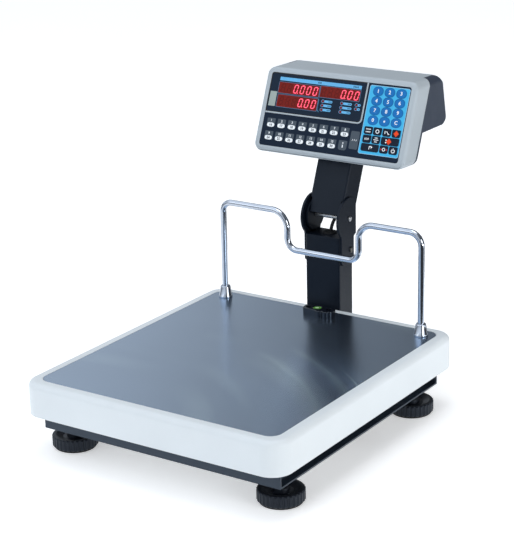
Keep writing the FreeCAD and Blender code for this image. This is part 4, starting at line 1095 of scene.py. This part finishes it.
class BENCHSCALE_OT_studio(bpy.types.Operator):
    """Set up the pale floor, soft lights, sky and camera"""
    bl_idname = "bench_scale.studio"
    bl_label = "Studio"

    # The sky's light by elevation, and its tone.
    sky_stops = [(0.0, 0.07), (0.1, 0.2), (0.22, 0.5), (0.31, 0.58), (0.4, 0.27), (0.7, 0.55), (1.0, 0.8)]
    sky_tone = (0.93, 0.99, 1.07)
    bright_side = (-0.819, -0.574, 0.0)
    side_light = (("From Min", -0.17), ("From Max", 0.17), ("To Min", 0.34), ("To Max", 1.9))
    # Black cards on the floor that only reflections see.
    cards = {
        "floor_card": [(0.34, -0.2), (0.02, -0.62), (0.0, -4.0), (3.6, -3.4), (3.4, 0.9), (0.75, 0.45)],
        "left_card": [(-0.02, -1.15), (-0.75, -0.95), (-1.2, -0.4), (-4.0, -1.0),
                      (-3.0, -4.0), (-0.02, -4.0)],
        "rear_card": [(-0.5, 0.75), (0.6, 0.75), (1.4, 2.6), (-1.6, 2.6)],
    }
    # Place, aim, width, height and tone of each light.
    lamps = {
        "key_softbox": ((2.9, -0.6, 1.1), (0, 0, 0.15), 1.3, 1.1, (1.0, 0.995, 0.98)),
        "fill_softbox": ((-1.6, -2.6, 1.9), (0, 0, 0.15), 2.2, 1.6, (0.96, 0.98, 1.0)),
        "side_strip": ((2.1, 0.2, 0.16), (0.2, -0.05, 0.06), 1.9, 0.18, (1.0, 1.0, 1.0)),
        "top_softbox": ((0.25, 0.3, 3.0), (0, 0, 0), 1.4, 1.4, (1.0, 1.0, 1.0)),
    }
    floor_half, clip_end = 90.0, 300.0

    def set_floor(self, studio):
        mesh = bmesh.new()
        bmesh.ops.create_grid(mesh, x_segments=8, y_segments=8, size=self.floor_half)
        paper = Finish("studio_paper", (0.9, 0.905, 0.91), 0.85, Emission_Color=(1.0, 1.0, 1.0, 1.0),
                       Emission_Strength=studio.floor_glow)
        paper.mottled(3.0, 3.0, 0.3, 0.7, 0.985).grain(240.0, 3.0, 0.1, 0.2)
        floor = shown(mesh, "studio_floor", paper.material)
        floor.location.z = -0.1 * MM

    def set_cards(self):
        black = Finish("black_card", (0.012, 0.013, 0.016), 0.9).mottled(5.0, 3.0, 0.4, 0.6, 0.7).material
        for name, outline in self.cards.items():
            mesh = bmesh.new()
            mesh.faces.new([mesh.verts.new((x, y, 0.5 * MM)) for x, y in outline])
            card = shown(mesh, name, black)
            card.visible_camera = card.visible_diffuse = card.visible_shadow = False

    def set_lamps(self, powers):
        for (name, (place, aim, width, height, tone)), power in zip(self.lamps.items(), powers):
            light = bpy.data.lights.new(name, "AREA")
            light.shape, light.size, light.size_y = "RECTANGLE", width, height
            light.energy, light.color = power, tone
            lamp = bpy.data.objects.new(name, light)
            lamp.location = place
            lamp.rotation_euler = (Vector(aim) - Vector(place)).to_track_quat("-Z", "Y").to_euler()
            bpy.context.scene.collection.objects.link(lamp)

    def set_sky(self):
        """A soft tent: dim near the horizon and to one side, so that metal has something to show."""
        world = bpy.data.worlds.new("studio_tent")
        bpy.context.scene.world = world
        world.use_nodes = True
        tree = world.node_tree
        new, join = tree.nodes.new, tree.links.new
        place = new("ShaderNodeTexCoord").outputs["Generated"]
        split, ramp = new("ShaderNodeSeparateXYZ"), new("ShaderNodeValToRGB")
        join(place, split.inputs["Vector"])
        join(split.outputs["Z"], ramp.inputs["Fac"])
        elements = ramp.color_ramp.elements
        for position, value in self.sky_stops[1:-1]:
            elements.new(position)
        for element, (position, value) in zip(sorted(elements, key=lambda e: e.position), self.sky_stops):
            element.position = position
            element.color = (*(value * tone for tone in self.sky_tone), 1.0)
        side = new("ShaderNodeVectorMath")
        side.operation = "DOT_PRODUCT"
        side.inputs[1].default_value = self.bright_side
        join(place, side.inputs[0])
        share = new("ShaderNodeMapRange")
        share.interpolation_type = "SMOOTHSTEP"
        for name, value in self.side_light:
            share.inputs[name].default_value = value
        join(side.outputs["Value"], share.inputs["Value"])
        background = tree.nodes["Background"]
        join(ramp.outputs["Color"], background.inputs["Color"])
        join(share.outputs["Result"], background.inputs["Strength"])

    def set_camera(self, studio):
        a, e, r = studio.azimuth, studio.elevation, studio.roll
        back = Vector((math.sin(a) * math.cos(e), -math.cos(a) * math.cos(e), math.sin(e)))
        level = Vector((0, 0, 1)).cross(back).normalized()
        rise = back.cross(level)
        right = math.cos(r) * level + math.sin(r) * rise
        up = math.cos(r) * rise - math.sin(r) * level
        turn = Matrix((right, up, back)).transposed().to_4x4()
        data = bpy.data.cameras.new("product_camera")
        data.sensor_width, data.lens, data.clip_end = 36.0, studio.lens, self.clip_end
        camera = bpy.data.objects.new("product_camera", data)
        camera.matrix_world = Matrix.Translation(studio.camera_place) @ turn
        bpy.context.scene.collection.objects.link(camera)
        bpy.context.scene.camera = camera

    def execute(self, context):
        studio = context.scene.bench_scale_studio
        self.set_floor(studio)
        self.set_sky()
        self.set_cards()
        self.set_camera(studio)
        self.set_lamps((studio.key_power, studio.fill_power, studio.strip_power, studio.top_power))
        context.scene.view_settings.view_transform = "Standard"
        return {"FINISHED"}


class BENCHSCALE_PT_maker(bpy.types.Panel):
    """Lists the makers in the order in which they run"""
    bl_idname = "BENCHSCALE_PT_maker"
    bl_label = "Bench scale"
    bl_space_type = "VIEW_3D"
    bl_region_type = "UI"
    bl_category = "Bench Scale"

    def draw(self, context):
        for maker in MAKERS:
            self.layout.operator(maker.bl_idname)
        for key in GROUPS:
            group, box = getattr(context.scene, key), self.layout.box()
            for name in group.bl_rna.properties.keys():
                if name not in {"rna_type", "name"}:
                    box.prop(group, name)


MAKERS = (
    BENCHSCALE_OT_finishes, BENCHSCALE_OT_display, BENCHSCALE_OT_preset_keys, BENCHSCALE_OT_number_keys,
    BENCHSCALE_OT_function_keys, BENCHSCALE_OT_customer_display, BENCHSCALE_OT_level, BENCHSCALE_OT_sockets,
    BENCHSCALE_OT_studs, BENCHSCALE_OT_cable, BENCHSCALE_OT_studio,
)
GROUPS = {"bench_scale_colours": BenchScaleColours, "bench_scale_sizes": BenchScaleSizes,
          "bench_scale_studio": BenchScaleStudio}


def register():
    for group in GROUPS.values():
        bpy.utils.register_class(group)
    for name, group in GROUPS.items():
        setattr(bpy.types.Scene, name, PointerProperty(type=group))
    for maker in (*MAKERS, BENCHSCALE_PT_maker):
        bpy.utils.register_class(maker)


def unregister():
    for maker in (BENCHSCALE_PT_maker, *reversed(MAKERS)):
        bpy.utils.unregister_class(maker)
    for name, group in GROUPS.items():
        delattr(bpy.types.Scene, name)
        bpy.utils.unregister_class(group)


def main():
    register()
    bpy.ops.bench_scale.finishes()
    bpy.ops.bench_scale.display()
    bpy.ops.bench_scale.preset_keys()
    bpy.ops.bench_scale.number_keys()
    bpy.ops.bench_scale.function_keys()
    bpy.ops.bench_scale.customer_display()
    bpy.ops.bench_scale.level()
    bpy.ops.bench_scale.sockets()
    bpy.ops.bench_scale.studs()
    bpy.ops.bench_scale.cable()
    bpy.ops.bench_scale.studio()


if __name__ == "__main__":
    main()
